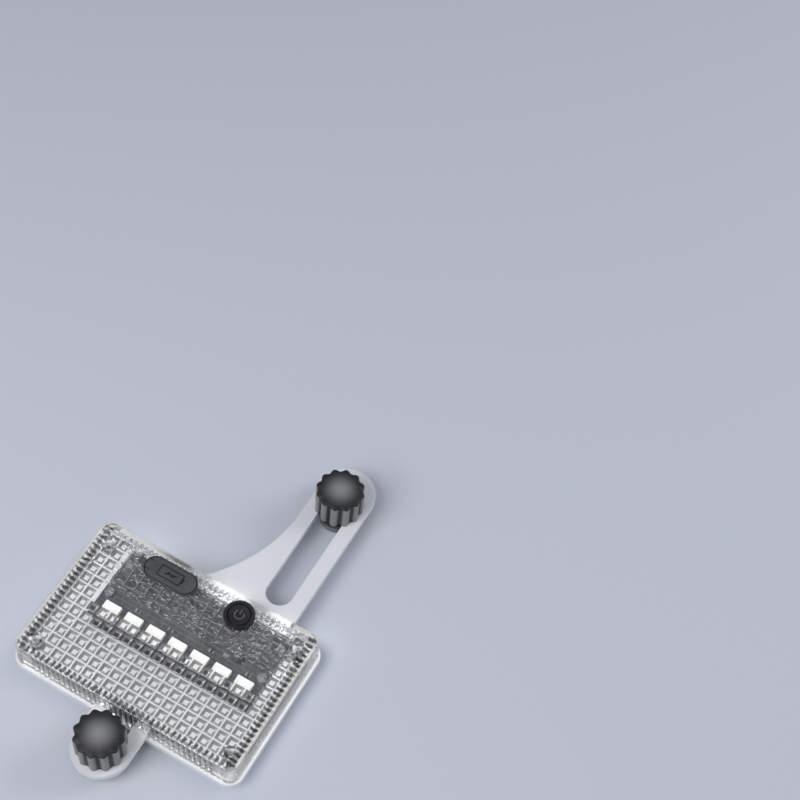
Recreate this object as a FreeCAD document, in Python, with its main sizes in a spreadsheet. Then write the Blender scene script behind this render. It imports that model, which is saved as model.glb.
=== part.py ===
import FreeCAD, Part

# Clip-on LED wheel light for a bicycle: a clear prismatic cover on a rear tray, a slotted
# bracket plate that comes out of both long sides, and a thumb clamp at each end of it that
# holds a spoke. X runs along the row of LEDs, +Y towards the long arm and +Z out of the
# face. The origin is the middle of the tray's flat back.
import math
import os
import re

import Sketcher
from FreeCAD import Rotation, Vector

SIZES = [
    ("face_length", 70.0, "clear face, along X"),
    ("face_depth", 45.3, "clear face, along Y"),
    ("corner_radius", 3.2, "upright corners of the clear cover"),
    ("flange_overhang", 1.0, "flange of the tray beyond the face, each side"),
    ("flange_thick", 2.0, "flange of the tray"),
    ("tray_depth", 2.6, "tray below its flange"),
    ("tray_inset", 2.0, "tray wall inside the flange's edge"),
    ("tray_wall", 1.2, "wall of the tray"),
    ("tray_floor", 1.2, "floor of the tray"),
    ("tray_bevel", 0.7, "bevelled lower edge of the tray"),
    ("seal_thick", 0.5, "foam strip between cover and tray"),
    ("seal_width", 1.6, "foam strip across the wall"),
    ("cover_height", 8.1, "clear cover from its foot to its face"),
    ("cover_flare", 0.35, "draft of the cover's walls, each side, over their height"),
    ("cover_wall", 1.2, "wall of the clear cover"),
    ("face_thick", 1.6, "face of the clear cover"),
    ("face_round", 0.6, "rounded edge round the face"),
    ("wall_rib_pitch", 1.66, "upright ribs inside the walls, from one to the next"),
    ("wall_rib_height", 0.75, "upright ribs inside the walls, off the wall"),
    ("cell_pitch", 3.32, "square prism cells, from one to the next"),
    ("cell_tip", 1.3, "flat square on a prism cell"),
    ("cell_land", 0.5, "flat land between two prism cells"),
    ("cell_height", 0.85, "prism cell, from its root to its flat square"),
    ("cell_root", 0.1, "sheet under the face that the prism cells share"),
    ("window_left", 2, "columns of prism cells left of the window over the board"),
    ("window_right", 1, "columns of prism cells right of the window"),
    ("window_cell_tip", 2.72, "flat square on a shallow cell in the window"),
    ("window_cell_land", 0.1, "flat land between two shallow cells"),
    ("window_cell_height", 0.2, "shallow cell in the window"),
    ("cell_columns", 19, "prism cells along the face"),
    ("upper_rows", 4, "rows of shallow cells in the window"),
    ("lower_rows", 6, "rows of prism cells below the window"),
    ("clear_rows", 2, "rows of the window left smooth, over the LEDs"),
    ("post_x", 31.0, "case screws from the middle, along X"),
    ("post_y", 17.2, "case screws from the middle, along Y"),
    ("post_radius", 1.9, "screw posts of the cover"),
    ("case_screw_radius", 1.0, "shank of a case screw"),
    ("case_screw_length", 7.5, "shank of a case screw"),
    ("case_head_radius", 1.85, "head of a case screw"),
    ("case_head_thick", 1.1, "head of a case screw"),
    ("screw_clearance", 0.15, "round a screw's shank or head"),
    ("plate_thick", 2.0, "bracket plate"),
    ("arm_centre", 16.4, "centre line of the long arm, along X"),
    ("arm_half_width", 8.3, "half width of the long arm, and its end's radius"),
    ("arm_end", 68.6, "centre of the arm's round end, along Y"),
    ("arm_slot_low", 31.2, "centre of the arm slot's inner end, along Y"),
    ("slot_half_width", 4.0, "half width of both slots"),
    ("flare_radius", 45.0, "concave edge where the arm widens"),
    ("flare_start", 56.0, "where the arm starts to widen, along Y"),
    ("shoulder", 14.0, "lower edge of the plate's wide middle, below the centre"),
    ("tab_half_width", 8.35, "half width of the short tab, and its end's radius"),
    ("tab_end", 32.0, "centre of the tab's round end, below the centre"),
    ("tab_slot_top", 20.0, "centre of the tab slot's inner end, below the centre"),
    ("plate_gap", 0.25, "round the plate where it passes through the cover's wall"),
    ("peg_radius", 1.5, "tray pegs that locate the plate"),
    ("peg_x", 16.4, "second peg, along X from the first"),
    ("peg_y", 4.0, "both pegs, along Y"),
    ("peg_clearance", 0.1, "round a peg"),
    ("board_left", 24.8, "left edge of the board, from the middle"),
    ("board_right", 28.3, "right edge of the board, from the middle"),
    ("board_low_edge", 3.0, "lower edge of the board, below the middle"),
    ("board_high_edge", 19.0, "upper edge of the board, above the middle"),
    ("board_thick", 1.0, "circuit board"),
    ("board_gap", 0.6, "board above the bracket plate"),
    ("board_screw_inset", 1.9, "board screws from the board's ends"),
    ("board_screw_low", 5.6, "lower board screws, along Y"),
    ("board_screw_high", 15.2, "upper board screws, along Y"),
    ("board_screw_radius", 0.8, "shank of a board screw"),
    ("board_screw_length", 4.0, "shank of a board screw below the board"),
    ("board_head_radius", 1.35, "head of a board screw"),
    ("board_head_thick", 0.9, "head of a board screw"),
    ("boss_radius", 1.6, "tray bosses under the board"),
    ("led_side", 5.0, "LED package"),
    ("led_thick", 1.6, "LED package"),
    ("led_pitch", 7.08, "LEDs, from one to the next"),
    ("led_count", 7, "LEDs in the row"),
    ("led_row_x", 1.9, "middle LED, along X"),
    ("led_row_y", 0.4, "LED row, along Y"),
    ("led_cup_radius", 2.0, "cup in an LED package"),
    ("led_cup_depth", 0.5, "cup in an LED package"),
    ("panel_half_length", 32.0, "half the reflector panel, along X"),
    ("panel_low_edge", 20.2, "lower edge of the reflector panel, below the middle"),
    ("panel_thick", 1.0, "reflector panel"),
    ("panel_gap", 0.1, "between reflector panel and board"),
    ("panel_leg_radius", 1.4, "legs of the reflector panel"),
    ("panel_leg_x", 29.6, "legs of the reflector panel, along X"),
    ("panel_leg_high", 6.4, "upper legs, below the middle"),
    ("panel_leg_low", 13.0, "lower legs, below the middle"),
    ("baffle_width", 1.8, "dark bar under the LEDs, along Y"),
    ("baffle_height", 1.4, "dark bar above the reflector panel"),
    ("baffle_left", 21.8, "left end of the dark bar, from the middle"),
    ("battery_length", 40.0, "pouch cell, along X"),
    ("battery_width", 12.0, "pouch cell, along Y"),
    ("battery_thick", 2.7, "pouch cell"),
    ("battery_x", -6.0, "middle of the pouch cell, along X"),
    ("battery_y", -11.6, "middle of the pouch cell, along Y"),
    ("battery_round", 0.8, "long edges of the pouch cell"),
    ("pad_thick", 0.4, "foam pad under the pouch cell"),
    ("rail_height", 1.4, "rails of the tray beside the pouch cell"),
    ("rail_thick", 0.8, "rails of the tray beside the pouch cell"),
    ("rail_gap", 0.3, "pouch cell to each rail"),
    ("lead_radius", 0.4, "battery lead with its sleeve"),
    ("lead_spacing", 1.6, "between the two battery leads"),
    ("lead_x", -23.4, "midway between the battery leads, along X"),
    ("lead_bend", 0.9, "bends of the battery leads"),
    ("lead_landing", 1.6, "where the leads meet the board, below the middle"),
    ("lead_seat", 0.03, "end of a lead to the board"),
    ("port_x", -10.0, "charging port, along X"),
    ("port_y", 16.7, "charging port, along Y"),
    ("port_shell_length", 8.94, "outside of the socket's shell, along X"),
    ("port_shell_width", 3.2, "outside of the socket's shell, along Y"),
    ("port_shell_wall", 0.3, "sheet of the socket's shell"),
    ("port_shell_height", 4.1, "socket above the board"),
    ("port_tongue_length", 6.6, "tongue of the socket"),
    ("port_tongue_thick", 0.7, "tongue of the socket"),
    ("port_base_height", 1.0, "insulator at the foot of the socket"),
    ("well_length", 12.4, "well in the face over the socket, along X"),
    ("well_width", 5.0, "well in the face over the socket, along Y"),
    ("flap_length", 16.6, "rubber port cover, along X"),
    ("flap_width", 7.0, "rubber port cover, along Y"),
    ("flap_thick", 0.8, "rubber port cover above the face"),
    ("flap_gap", 0.1, "rubber port cover above the face, at its hinge"),
    ("flap_plug_depth", 0.7, "part of the port cover that sits in the well"),
    ("flap_plug_gap", 0.35, "port cover's plug to the well, each side"),
    ("tether_length", 1.6, "tether between the port cover and its bead"),
    ("tether_width", 2.2, "tether of the port cover"),
    ("tether_gap", 0.1, "tether to the ear on each side of it"),
    ("bead_radius", 0.45, "bead at the end of the tether"),
    ("ear_thick", 0.55, "ears of the cover that hold the bead"),
    ("ear_width", 1.7, "ears of the cover that hold the bead"),
    ("button_x", 12.3, "push button, along X"),
    ("button_y", 16.55, "push button, along Y"),
    ("ring_radius", 4.4, "bezel ring over the face"),
    ("ring_height", 1.0, "bezel ring over the face"),
    ("ring_neck_radius", 3.95, "neck of the bezel ring in the face"),
    ("ring_bore_radius", 3.3, "bore of the bezel ring"),
    ("ring_fit", 0.05, "round the neck of the bezel ring"),
    ("cap_radius", 3.2, "push button's cap"),
    ("cap_height", 1.0, "push button's cap above the face"),
    ("cap_dish", 0.25, "hollow in the top of the cap"),
    ("cap_flange_radius", 4.1, "rim that keeps the cap behind the ring"),
    ("cap_flange_thick", 0.5, "rim that keeps the cap behind the ring"),
    ("cap_post_radius", 1.4, "post of the cap over the switch"),
    ("button_travel", 0.4, "how far the button goes in"),
    ("switch_side", 4.5, "tact switch"),
    ("switch_height", 1.5, "tact switch above the board"),
    ("stem_radius", 0.9, "stem of the tact switch"),
    ("stem_above", 0.7, "stem of the tact switch above its body"),
    ("stem_fit", 0.08, "round the stem of the tact switch"),
    ("controller_x", -16.5, "controller chip, along X"),
    ("controller_y", 11.0, "controller chip, along Y"),
    ("charger_x", -14.5, "charging chip, along X"),
    ("charger_y", 3.4, "charging chip, along Y"),
    ("sensor_x", -15.8, "motion sensor, along X"),
    ("sensor_y", 16.4, "motion sensor, along Y"),
    ("sensor_radius", 1.0, "motion sensor"),
    ("sensor_length", 5.0, "motion sensor"),
    ("knob_radius", 7.25, "thumb knob over its lobes"),
    ("knob_height", 9.7, "thumb knob"),
    ("knob_dome", 0.7, "rise of the knob's top"),
    ("knob_edge", 0.5, "rounding of the knob's upper edge"),
    ("lobe_count", 12, "lobes round a knob"),
    ("flute_radius", 1.9, "flute between two lobes"),
    ("flute_depth", 0.8, "flute between two lobes"),
    ("knob_float", 0.05, "knob above the plate"),
    ("insert_radius", 2.9, "brass insert in a knob"),
    ("insert_height", 6.0, "brass insert in a knob"),
    ("stud_radius", 2.0, "clamp stud"),
    ("stud_flats", 3.3, "clamp stud across its flats"),
    ("stud_above", 5.4, "clamp stud above the plate"),
    ("stud_rim_radius", 3.0, "rim that carries the clamp head"),
    ("stud_rim_thick", 0.5, "rim that carries the clamp head"),
    ("running_fit", 0.05, "radial clearance of a turning or sliding fit"),
    ("shoe_radius", 5.75, "slot shoe under the plate"),
    ("shoe_thick", 1.5, "slot shoe under the plate"),
    ("shoe_float", 0.05, "slot shoe below the plate"),
    ("shoe_side_gap", 0.1, "slot shoe to the sides of the slot"),
    ("head_radius", 5.6, "clamp head"),
    ("head_height", 2.8, "clamp head"),
    ("head_gap", 0.05, "clamp head below the slot shoe"),
    ("head_edge", 0.3, "bevel round the clamp head"),
    ("spoke_radius", 1.0, "spoke that a clamp head holds"),
    ("spoke_offset", 3.5, "spoke's centre from the stud's centre"),
    ("arm_clamp_y", 63.9, "clamp of the long arm, along Y"),
    ("tab_clamp_y", -31.9, "clamp of the short tab, along Y"),
]

doc = FreeCAD.newDocument("wheel_light")
sheet = doc.addObject("Spreadsheet::Sheet", "sizes")
for row, (alias, value, meaning) in enumerate(SIZES, start=1):
    sheet.set(f"A{row}", meaning)
    sheet.set(f"B{row}", str(value))
    sheet.setAlias(f"B{row}", alias)
doc.recompute()

SIZE_NAME = re.compile(r"\b(" + "|".join(alias for alias, _, _ in SIZES) + r")\b")


def cells(text):
    """The expression with every size's name pointing at its cell."""
    return SIZE_NAME.sub(r"sizes.\1", str(text))


def number(text):
    """What an expression of sizes comes to now."""
    return float(sheet.evalExpression(cells(text)))


def bind(thing, prop, text):
    """Ties a property to an expression of sizes."""
    thing.setExpression(prop, cells(text))


# Heights above the back, worked out from the sizes.
FLANGE_TOP = "(tray_depth + flange_thick)"
PLATE_TOP = f"({FLANGE_TOP} + plate_thick)"
COVER_FOOT = f"({FLANGE_TOP} + seal_thick)"
FACE_TOP = f"({COVER_FOOT} + cover_height)"
FACE_UNDER = f"({FACE_TOP} - face_thick)"
BOARD_UNDER = f"({PLATE_TOP} + board_gap)"
BOARD_TOP = f"({BOARD_UNDER} + board_thick)"
SHOE_TOP = f"({FLANGE_TOP} - shoe_float)"
SHOE_FOOT = f"({SHOE_TOP} - shoe_thick)"
HEAD_TOP = f"({SHOE_FOOT} - head_gap)"
HEAD_FOOT = f"({HEAD_TOP} - head_height)"
KNOB_FOOT = f"({PLATE_TOP} + knob_float)"
BEAD_X = "(port_x - flap_length / 2 - tether_length)"
BEAD_Z = f"({FACE_TOP} + flap_gap + flap_thick / 2)"
INNER_HALF_LENGTH = "(face_length / 2 - cover_wall)"
INNER_HALF_DEPTH = "(face_depth / 2 - cover_wall)"
POSTS = [(f"{i} * post_x", f"{j} * post_y") for i in (-1, 1) for j in (-1, 1)]
BOARD_SCREWS = [
    (x, y)
    for x in ("board_screw_inset - board_left", "board_right - board_screw_inset")
    for y in ("board_screw_low", "board_screw_high")
]
PEGS = [("0", "peg_y"), ("peg_x", "peg_y")]

nodes = []


def keep(thing, label):
    """Names a finished sub-part and puts it on the list that is written out."""
    thing.Label = label
    nodes.append(thing)
    return thing


def new_body(name):
    """An empty body for one piece."""
    return doc.addObject("PartDesign::Body", name)


def new_sketch(body, name, role="XY_Plane", offset="0"):
    """A sketch on one of the body's own planes, moved along its normal."""
    sketch = body.newObject("Sketcher::SketchObject", name)
    plane = [item for item in body.Origin.OriginFeatures if item.Role == role][0]
    sketch.AttachmentSupport = [(plane, "")]
    sketch.MapMode = "FlatFace"
    bind(sketch, "AttachmentOffset.Base.z", offset)
    return sketch


def locate(sketch, shape, point, x, y):
    """Ties a sketch point to two coordinates."""
    for kind, text, axis in (("DistanceX", x, -2), ("DistanceY", y, -1)):
        if abs(number(text)) < 1e-9:
            sketch.addConstraint(Sketcher.Constraint("PointOnObject", shape, point, axis))
            continue
        limit = Sketcher.Constraint(kind, -1, 1, shape, point, number(text))
        index = sketch.addConstraint(limit)
        bind(sketch, f"Constraints[{index}]", text)


def set_radius(sketch, shape, text):
    """Ties the radius of a circle or an arc."""
    index = sketch.addConstraint(Sketcher.Constraint("Radius", shape, number(text)))
    bind(sketch, f"Constraints[{index}]", text)


def draw_polygon(sketch, points):
    """A closed outline of straight lines through located points."""
    spots = [Vector(number(x), number(y), 0) for x, y in points]
    first = sketch.GeometryCount
    for i, spot in enumerate(spots):
        sketch.addGeometry(Part.LineSegment(spot, spots[(i + 1) % len(spots)]))
    for i, (x, y) in enumerate(points):
        after = first + (i + 1) % len(points)
        sketch.addConstraint(Sketcher.Constraint("Coincident", first + i, 2, after, 1))
        locate(sketch, first + i, 1, x, y)


def draw_rectangle(sketch, length, depth, x="0", y="0"):
    """A rectangle round a centre."""
    left = f"{x} - ({length}) / 2"
    right = f"{x} + ({length}) / 2"
    low = f"{y} - ({depth}) / 2"
    high = f"{y} + ({depth}) / 2"
    draw_polygon(sketch, [(left, low), (right, low), (right, high), (left, high)])


def draw_circle(sketch, radius, x="0", y="0"):
    """A circle round a centre."""
    centre = Vector(number(x), number(y), 0)
    shape = sketch.addGeometry(Part.Circle(centre, Vector(0, 0, 1), number(radius)))
    set_radius(sketch, shape, radius)
    locate(sketch, shape, 3, x, y)


def draw_pill(sketch, width, start, end):
    """A slot with two round ends, between the centres of those ends."""
    radius = number(width) / 2
    a = Vector(number(start[0]), number(start[1]), 0)
    b = Vector(number(end[0]), number(end[1]), 0)
    turn = math.atan2(b.y - a.y, b.x - a.x)
    side = Vector(-math.sin(turn), math.cos(turn), 0) * radius
    up = Vector(0, 0, 1)
    first = sketch.GeometryCount
    sketch.addGeometry(Part.LineSegment(a - side, b - side))
    cap = Part.Circle(b, up, radius)
    sketch.addGeometry(Part.ArcOfCircle(cap, turn - math.pi / 2, turn + math.pi / 2))
    sketch.addGeometry(Part.LineSegment(b + side, a + side))
    cap = Part.Circle(a, up, radius)
    sketch.addGeometry(Part.ArcOfCircle(cap, turn + math.pi / 2, turn + math.pi * 1.5))
    for i in range(4):
        after = first + (i + 1) % 4
        sketch.addConstraint(Sketcher.Constraint("Tangent", first + i, 2, after, 1))
    for shape, (x, y) in ((first + 1, end), (first + 3, start)):
        locate(sketch, shape, 3, x, y)
        set_radius(sketch, shape, f"({width}) / 2")


def add_pad(body, sketch, length, down=False):
    """Material from a sketch, upwards or down."""
    feature = body.newObject("PartDesign::Pad", sketch.Name + "_pad")
    feature.Profile = sketch
    bind(feature, "Length", length)
    feature.Reversed = down
    doc.recompute()
    return feature


def add_pocket(body, sketch, length, up=False):
    """A cut from a sketch, down or upwards. It has to take material away."""
    before = body.Shape.Volume
    feature = body.newObject("PartDesign::Pocket", sketch.Name + "_cut")
    feature.Profile = sketch
    bind(feature, "Length", length)
    feature.Reversed = up
    doc.recompute()
    if body.Shape.Volume > before - 1e-6:
        raise RuntimeError(f"{feature.Name} cuts nothing")
    return feature


def pick_edges(shape, test):
    """Names of the edges that pass a test."""
    return [f"Edge{i}" for i, edge in enumerate(shape.Edges, start=1) if test(edge)]


def is_upright(edge, low, high):
    """True for an edge that climbs from one height to the other."""
    zs = sorted(vertex.Point.z for vertex in edge.Vertexes)
    return len(zs) == 2 and abs(zs[0] - low) < 1e-4 and abs(zs[1] - high) < 1e-4


def is_level(edge):
    """True for an edge that stays at one height."""
    return edge.BoundBox.ZLength < 1e-6


def dress(body, kind, base, prop, names, text):
    """A fillet or chamfer on named edges of the last feature."""
    feature = body.newObject(f"PartDesign::{kind}", f"{base.Name}_{kind.lower()}")
    feature.Base = (base, names)
    bind(feature, prop, text)
    doc.recompute()
    return feature


def add_turned(body, sketch):
    """A full turn of a profile round its upright axis."""
    feature = body.newObject("PartDesign::Revolution", sketch.Name + "_turn")
    feature.Profile = sketch
    feature.ReferenceAxis = (sketch, ["V_Axis"])
    feature.Angle = 360
    doc.recompute()
    return feature


def place(thing, x="0", y="0", z="0"):
    """Ties a piece's own place."""
    bind(thing, "Placement.Base.x", x)
    bind(thing, "Placement.Base.y", y)
    bind(thing, "Placement.Base.z", z)
    return thing


def new_box(name, length, depth, height, x, y, z):
    """A box round a centre in X and Y, standing on a height."""
    box = doc.addObject("Part::Box", name)
    bind(box, "Length", length)
    bind(box, "Width", depth)
    bind(box, "Height", height)
    return place(box, f"{x} - ({length}) / 2", f"{y} - ({depth}) / 2", z)


def new_cylinder(name, radius, height, x, y, z):
    """An upright cylinder."""
    cylinder = doc.addObject("Part::Cylinder", name)
    bind(cylinder, "Radius", radius)
    bind(cylinder, "Height", height)
    return place(cylinder, x, y, z)


def cut_away(name, base, tool):
    """One piece less another."""
    feature = doc.addObject("Part::Cut", name)
    feature.Base = base
    feature.Tool = tool
    return feature


def join(name, pieces):
    """Several shapes as one solid."""
    feature = doc.addObject("Part::MultiFuse", name)
    feature.Shapes = pieces
    return feature


def group(name, pieces):
    """Several separate solids as one node."""
    feature = doc.addObject("Part::Compound", name)
    feature.Links = pieces
    return feature


def make_back_cover():
    """Rear tray: a flange that the clear cover closes on, a shallow tray behind it, bosses
    for the case screws and the board, two pegs for the plate and rails for the cell."""
    body = new_body("back_cover")
    length = "(face_length + 2 * flange_overhang)"
    depth = "(face_depth + 2 * flange_overhang)"
    flange = new_sketch(body, "flange_outline", offset="tray_depth")
    draw_rectangle(flange, length, depth)
    pad = add_pad(body, flange, "flange_thick")
    low = number("tray_depth")
    high = number(FLANGE_TOP)
    names = pick_edges(pad.Shape, lambda edge: is_upright(edge, low, high))
    dress(body, "Fillet", pad, "Radius", names, "corner_radius + flange_overhang")
    tray = new_sketch(body, "tray_outline", offset="tray_depth")
    tray_length = f"({length} - 2 * tray_inset)"
    tray_width = f"({depth} - 2 * tray_inset)"
    draw_rectangle(tray, tray_length, tray_width)
    pad = add_pad(body, tray, "tray_depth", down=True)
    names = pick_edges(pad.Shape, lambda edge: is_upright(edge, 0, low))
    rounded = dress(body, "Fillet", pad, "Radius", names, "corner_radius")
    names = pick_edges(rounded.Shape, lambda edge: abs(edge.BoundBox.ZMax) < 1e-6)
    dress(body, "Chamfer", rounded, "Size", names, "tray_bevel")
    bay = new_sketch(body, "tray_bay", offset=FLANGE_TOP)
    draw_rectangle(bay, f"{tray_length} - 2 * tray_wall", f"{tray_width} - 2 * tray_wall")
    cut = add_pocket(body, bay, f"{FLANGE_TOP} - tray_floor")
    floor = number("tray_floor")
    names = pick_edges(cut.Shape, lambda edge: is_upright(edge, floor, high))
    dress(body, "Fillet", cut, "Radius", names, "corner_radius - tray_wall")
    bosses = new_sketch(body, "case_bosses", offset="tray_floor")
    for x, y in POSTS:
        draw_circle(bosses, "post_radius + screw_clearance", x, y)
    add_pad(body, bosses, f"{COVER_FOOT} - tray_floor")
    bosses = new_sketch(body, "board_bosses", offset="tray_floor")
    for x, y in BOARD_SCREWS:
        draw_circle(bosses, "boss_radius", x, y)
    add_pad(body, bosses, f"{BOARD_UNDER} - tray_floor")
    pegs = new_sketch(body, "plate_pegs", offset="tray_floor")
    for x, y in PEGS:
        draw_circle(pegs, "peg_radius", x, y)
    add_pad(body, pegs, f"{PLATE_TOP} + board_gap / 2 - tray_floor")
    rails = new_sketch(body, "cell_rails", offset="tray_floor")
    apart = "((battery_width + rail_thick) / 2 + rail_gap)"
    for side in (-1, 1):
        y = f"battery_y + {side} * {apart}"
        draw_rectangle(rails, "battery_length * 0.8", "rail_thick", "battery_x", y)
    add_pad(body, rails, "rail_height")
    holes = new_sketch(body, "case_holes")
    for x, y in POSTS:
        draw_circle(holes, "case_screw_radius + screw_clearance", x, y)
    add_pocket(body, holes, COVER_FOOT, up=True)
    recesses = new_sketch(body, "case_recesses")
    for x, y in POSTS:
        draw_circle(recesses, "case_head_radius + screw_clearance", x, y)
    add_pocket(body, recesses, "case_head_thick + screw_clearance", up=True)
    bores = new_sketch(body, "board_bores", offset=BOARD_UNDER)
    for x, y in BOARD_SCREWS:
        draw_circle(bores, "board_screw_radius", x, y)
    add_pocket(body, bores, "board_screw_length")
    return keep(body, "back_cover")


def make_cover_shell(body):
    """The clear cover's drafted box, rounded at its corners and face, and hollowed."""
    outline = new_sketch(body, "face_outline", offset=FACE_TOP)
    draw_rectangle(outline, "face_length", "face_depth")
    pad = add_pad(body, outline, "cover_height", down=True)
    bind(pad, "TaperAngle", "atan(cover_flare / cover_height)")
    doc.recompute()
    low = number(COVER_FOOT)
    high = number(FACE_TOP)
    names = pick_edges(pad.Shape, lambda edge: is_upright(edge, low, high))
    rounded = dress(body, "Fillet", pad, "Radius", names, "corner_radius")
    names = pick_edges(rounded.Shape, lambda edge: edge.BoundBox.ZMin > high - 1e-6)
    dress(body, "Fillet", rounded, "Radius", names, "face_round")
    hollow = new_sketch(body, "cover_hollow", offset=COVER_FOOT)
    draw_rectangle(hollow, f"2 * {INNER_HALF_LENGTH}", f"2 * {INNER_HALF_DEPTH}")
    cut = add_pocket(body, hollow, "cover_height - face_thick", up=True)
    under = number(FACE_UNDER)
    names = pick_edges(cut.Shape, lambda edge: is_upright(edge, low, under))
    dress(body, "Fillet", cut, "Radius", names, "corner_radius - cover_wall")


def add_row(body, original, role, spacing, count):
    """Copies of a feature in a row along one of the body's axes."""
    row = body.newObject("PartDesign::LinearPattern", original.Name + "_row")
    row.Originals = [original]
    axis = [item for item in body.Origin.OriginFeatures if item.Role == role][0]
    row.Direction = (axis, [""])
    bind(row, "Occurrences", count)
    bind(row, "Length", f"({spacing}) * ({count} - 1)")
    body.Tip = row
    doc.recompute()
    return row


def add_wall_ribs(body):
    """Upright three-sided ribs inside all four walls, which break the light up."""
    height = "cover_height - face_thick"
    for axis, wall in (("X", "face_depth"), ("Y", "face_length")):
        run = "face_length" if axis == "X" else "face_depth"
        count = f"(floor(({run} / 2 - 2 * corner_radius) / wall_rib_pitch) * 2 + 1)"
        first = f"(-({count} - 1) / 2 * wall_rib_pitch)"
        before = f"{first} - wall_rib_pitch * 0.45"
        after = f"{first} + wall_rib_pitch * 0.45"
        for side in (-1, 1):
            root = f"{side} * ({wall} / 2 - cover_wall * 0.75)"
            tip = f"{side} * ({wall} / 2 - cover_wall - wall_rib_height)"
            corners = [(before, root), (after, root), (first, tip)]
            if axis == "Y":
                corners = [(y, x) for x, y in corners]
            wall_name = "low" if side < 0 else "high"
            rib = new_sketch(body, f"rib_{axis}_{wall_name}", offset=COVER_FOOT)
            draw_polygon(rib, corners)
            add_row(body, add_pad(body, rib, height), f"{axis}_Axis", "wall_rib_pitch", count)


def cut_cells(body, name, columns, rows, x, y, tip, land, height, root):
    """Tapered grooves along both directions, which leave square cells between them."""
    wide = f"((cell_pitch - {tip}) / 2)"
    foot = f"({root} - {height})"
    length = f"({columns} * cell_pitch)"
    depth = f"({rows} * cell_pitch)"
    left = f"({x} - {length} / 2)"
    low = f"({y} - {depth} / 2)"
    front = f"-({y}) - {depth} / 2 - 0.5"
    grooves = [
        ("XZ_Plane", "X_Axis", left, front, depth, columns),
        ("YZ_Plane", "Y_Axis", low, f"{left} - 0.5", length, rows),
    ]
    for role, axis, start, offset, reach, count in grooves:
        groove = new_sketch(body, f"{name}_groove_{axis[0]}", role=role, offset=offset)
        corners = [
            (f"{start} - {wide}", foot),
            (f"{start} + {wide}", foot),
            (f"{start} + {land} / 2", root),
            (f"{start} - {land} / 2", root),
        ]
        draw_polygon(groove, corners)
        cut = add_pocket(body, groove, f"{reach} + 1", up=True)
        add_row(body, cut, axis, "cell_pitch", f"({count} + 1)")


def make_prism_cells():
    """Square prism cells under the face, cut by grooves out of a flat sheet. A window over
    the board has only shallow cells, and none at all over the LEDs."""
    body = new_body("prism_cells")
    rows = "(upper_rows + clear_rows + lower_rows)"
    length = "(cell_columns * cell_pitch)"
    top = f"({rows} / 2 * cell_pitch)"
    root = f"({FACE_UNDER} - cell_root)"
    foot = f"({root} - cell_height)"
    sheet_top = f"({FACE_TOP} - face_thick / 2)"
    blank = new_sketch(body, "cell_sheet", offset=sheet_top)
    draw_rectangle(blank, length, f"{rows} * cell_pitch")
    add_pad(body, blank, f"{sheet_top} - {foot}", down=True)
    cut_cells(
        body, "cell", "cell_columns", rows, "0", "0",
        "cell_tip", "cell_land", "cell_height", root,
    )
    window = new_sketch(body, "window", offset=foot)
    columns = "(cell_columns - window_left - window_right)"
    window_length = f"({columns} * cell_pitch)"
    window_depth = "((upper_rows + clear_rows) * cell_pitch)"
    window_x = "((window_left - window_right) / 2 * cell_pitch)"
    window_y = f"({top} - {window_depth} / 2)"
    draw_rectangle(window, window_length, window_depth, window_x, window_y)
    add_pocket(body, window, "cell_height", up=True)
    shallow = new_sketch(body, "window_sheet", offset=root)
    shallow_y = f"({top} - upper_rows / 2 * cell_pitch)"
    draw_rectangle(shallow, window_length, "upper_rows * cell_pitch", window_x, shallow_y)
    add_pad(body, shallow, "window_cell_height", down=True)
    inner_columns = f"({columns} - 1)"
    inner_rows = "(upper_rows - 1)"
    cut_cells(
        body, "window", inner_columns, inner_rows, window_x, shallow_y,
        "window_cell_tip", "window_cell_land", "window_cell_height", root,
    )
    open_spot = new_sketch(body, "open_spot", offset=foot)
    draw_circle(open_spot, "cap_flange_radius + 0.4", "button_x", "button_y")
    add_pocket(body, open_spot, "cell_height + cell_root", up=True)
    add_port_well(body, "well_in_cells")
    add_button_hole(body, "hole_in_cells")
    return body


def add_port_well(body, name):
    """The well in the face over the charging socket."""
    well = new_sketch(body, name, offset=FACE_TOP)
    reach = "(well_length - well_width) / 2"
    start = (f"port_x - {reach}", "port_y")
    end = (f"port_x + {reach}", "port_y")
    draw_pill(well, "well_width", start, end)
    add_pocket(body, well, "face_thick + cell_height + cell_root")


def add_button_hole(body, name):
    """The hole in the face for the neck of the button's ring."""
    hole = new_sketch(body, name, offset=FACE_TOP)
    draw_circle(hole, "ring_neck_radius + ring_fit", "button_x", "button_y")
    add_pocket(body, hole, "face_thick + cell_height + cell_root")


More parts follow.
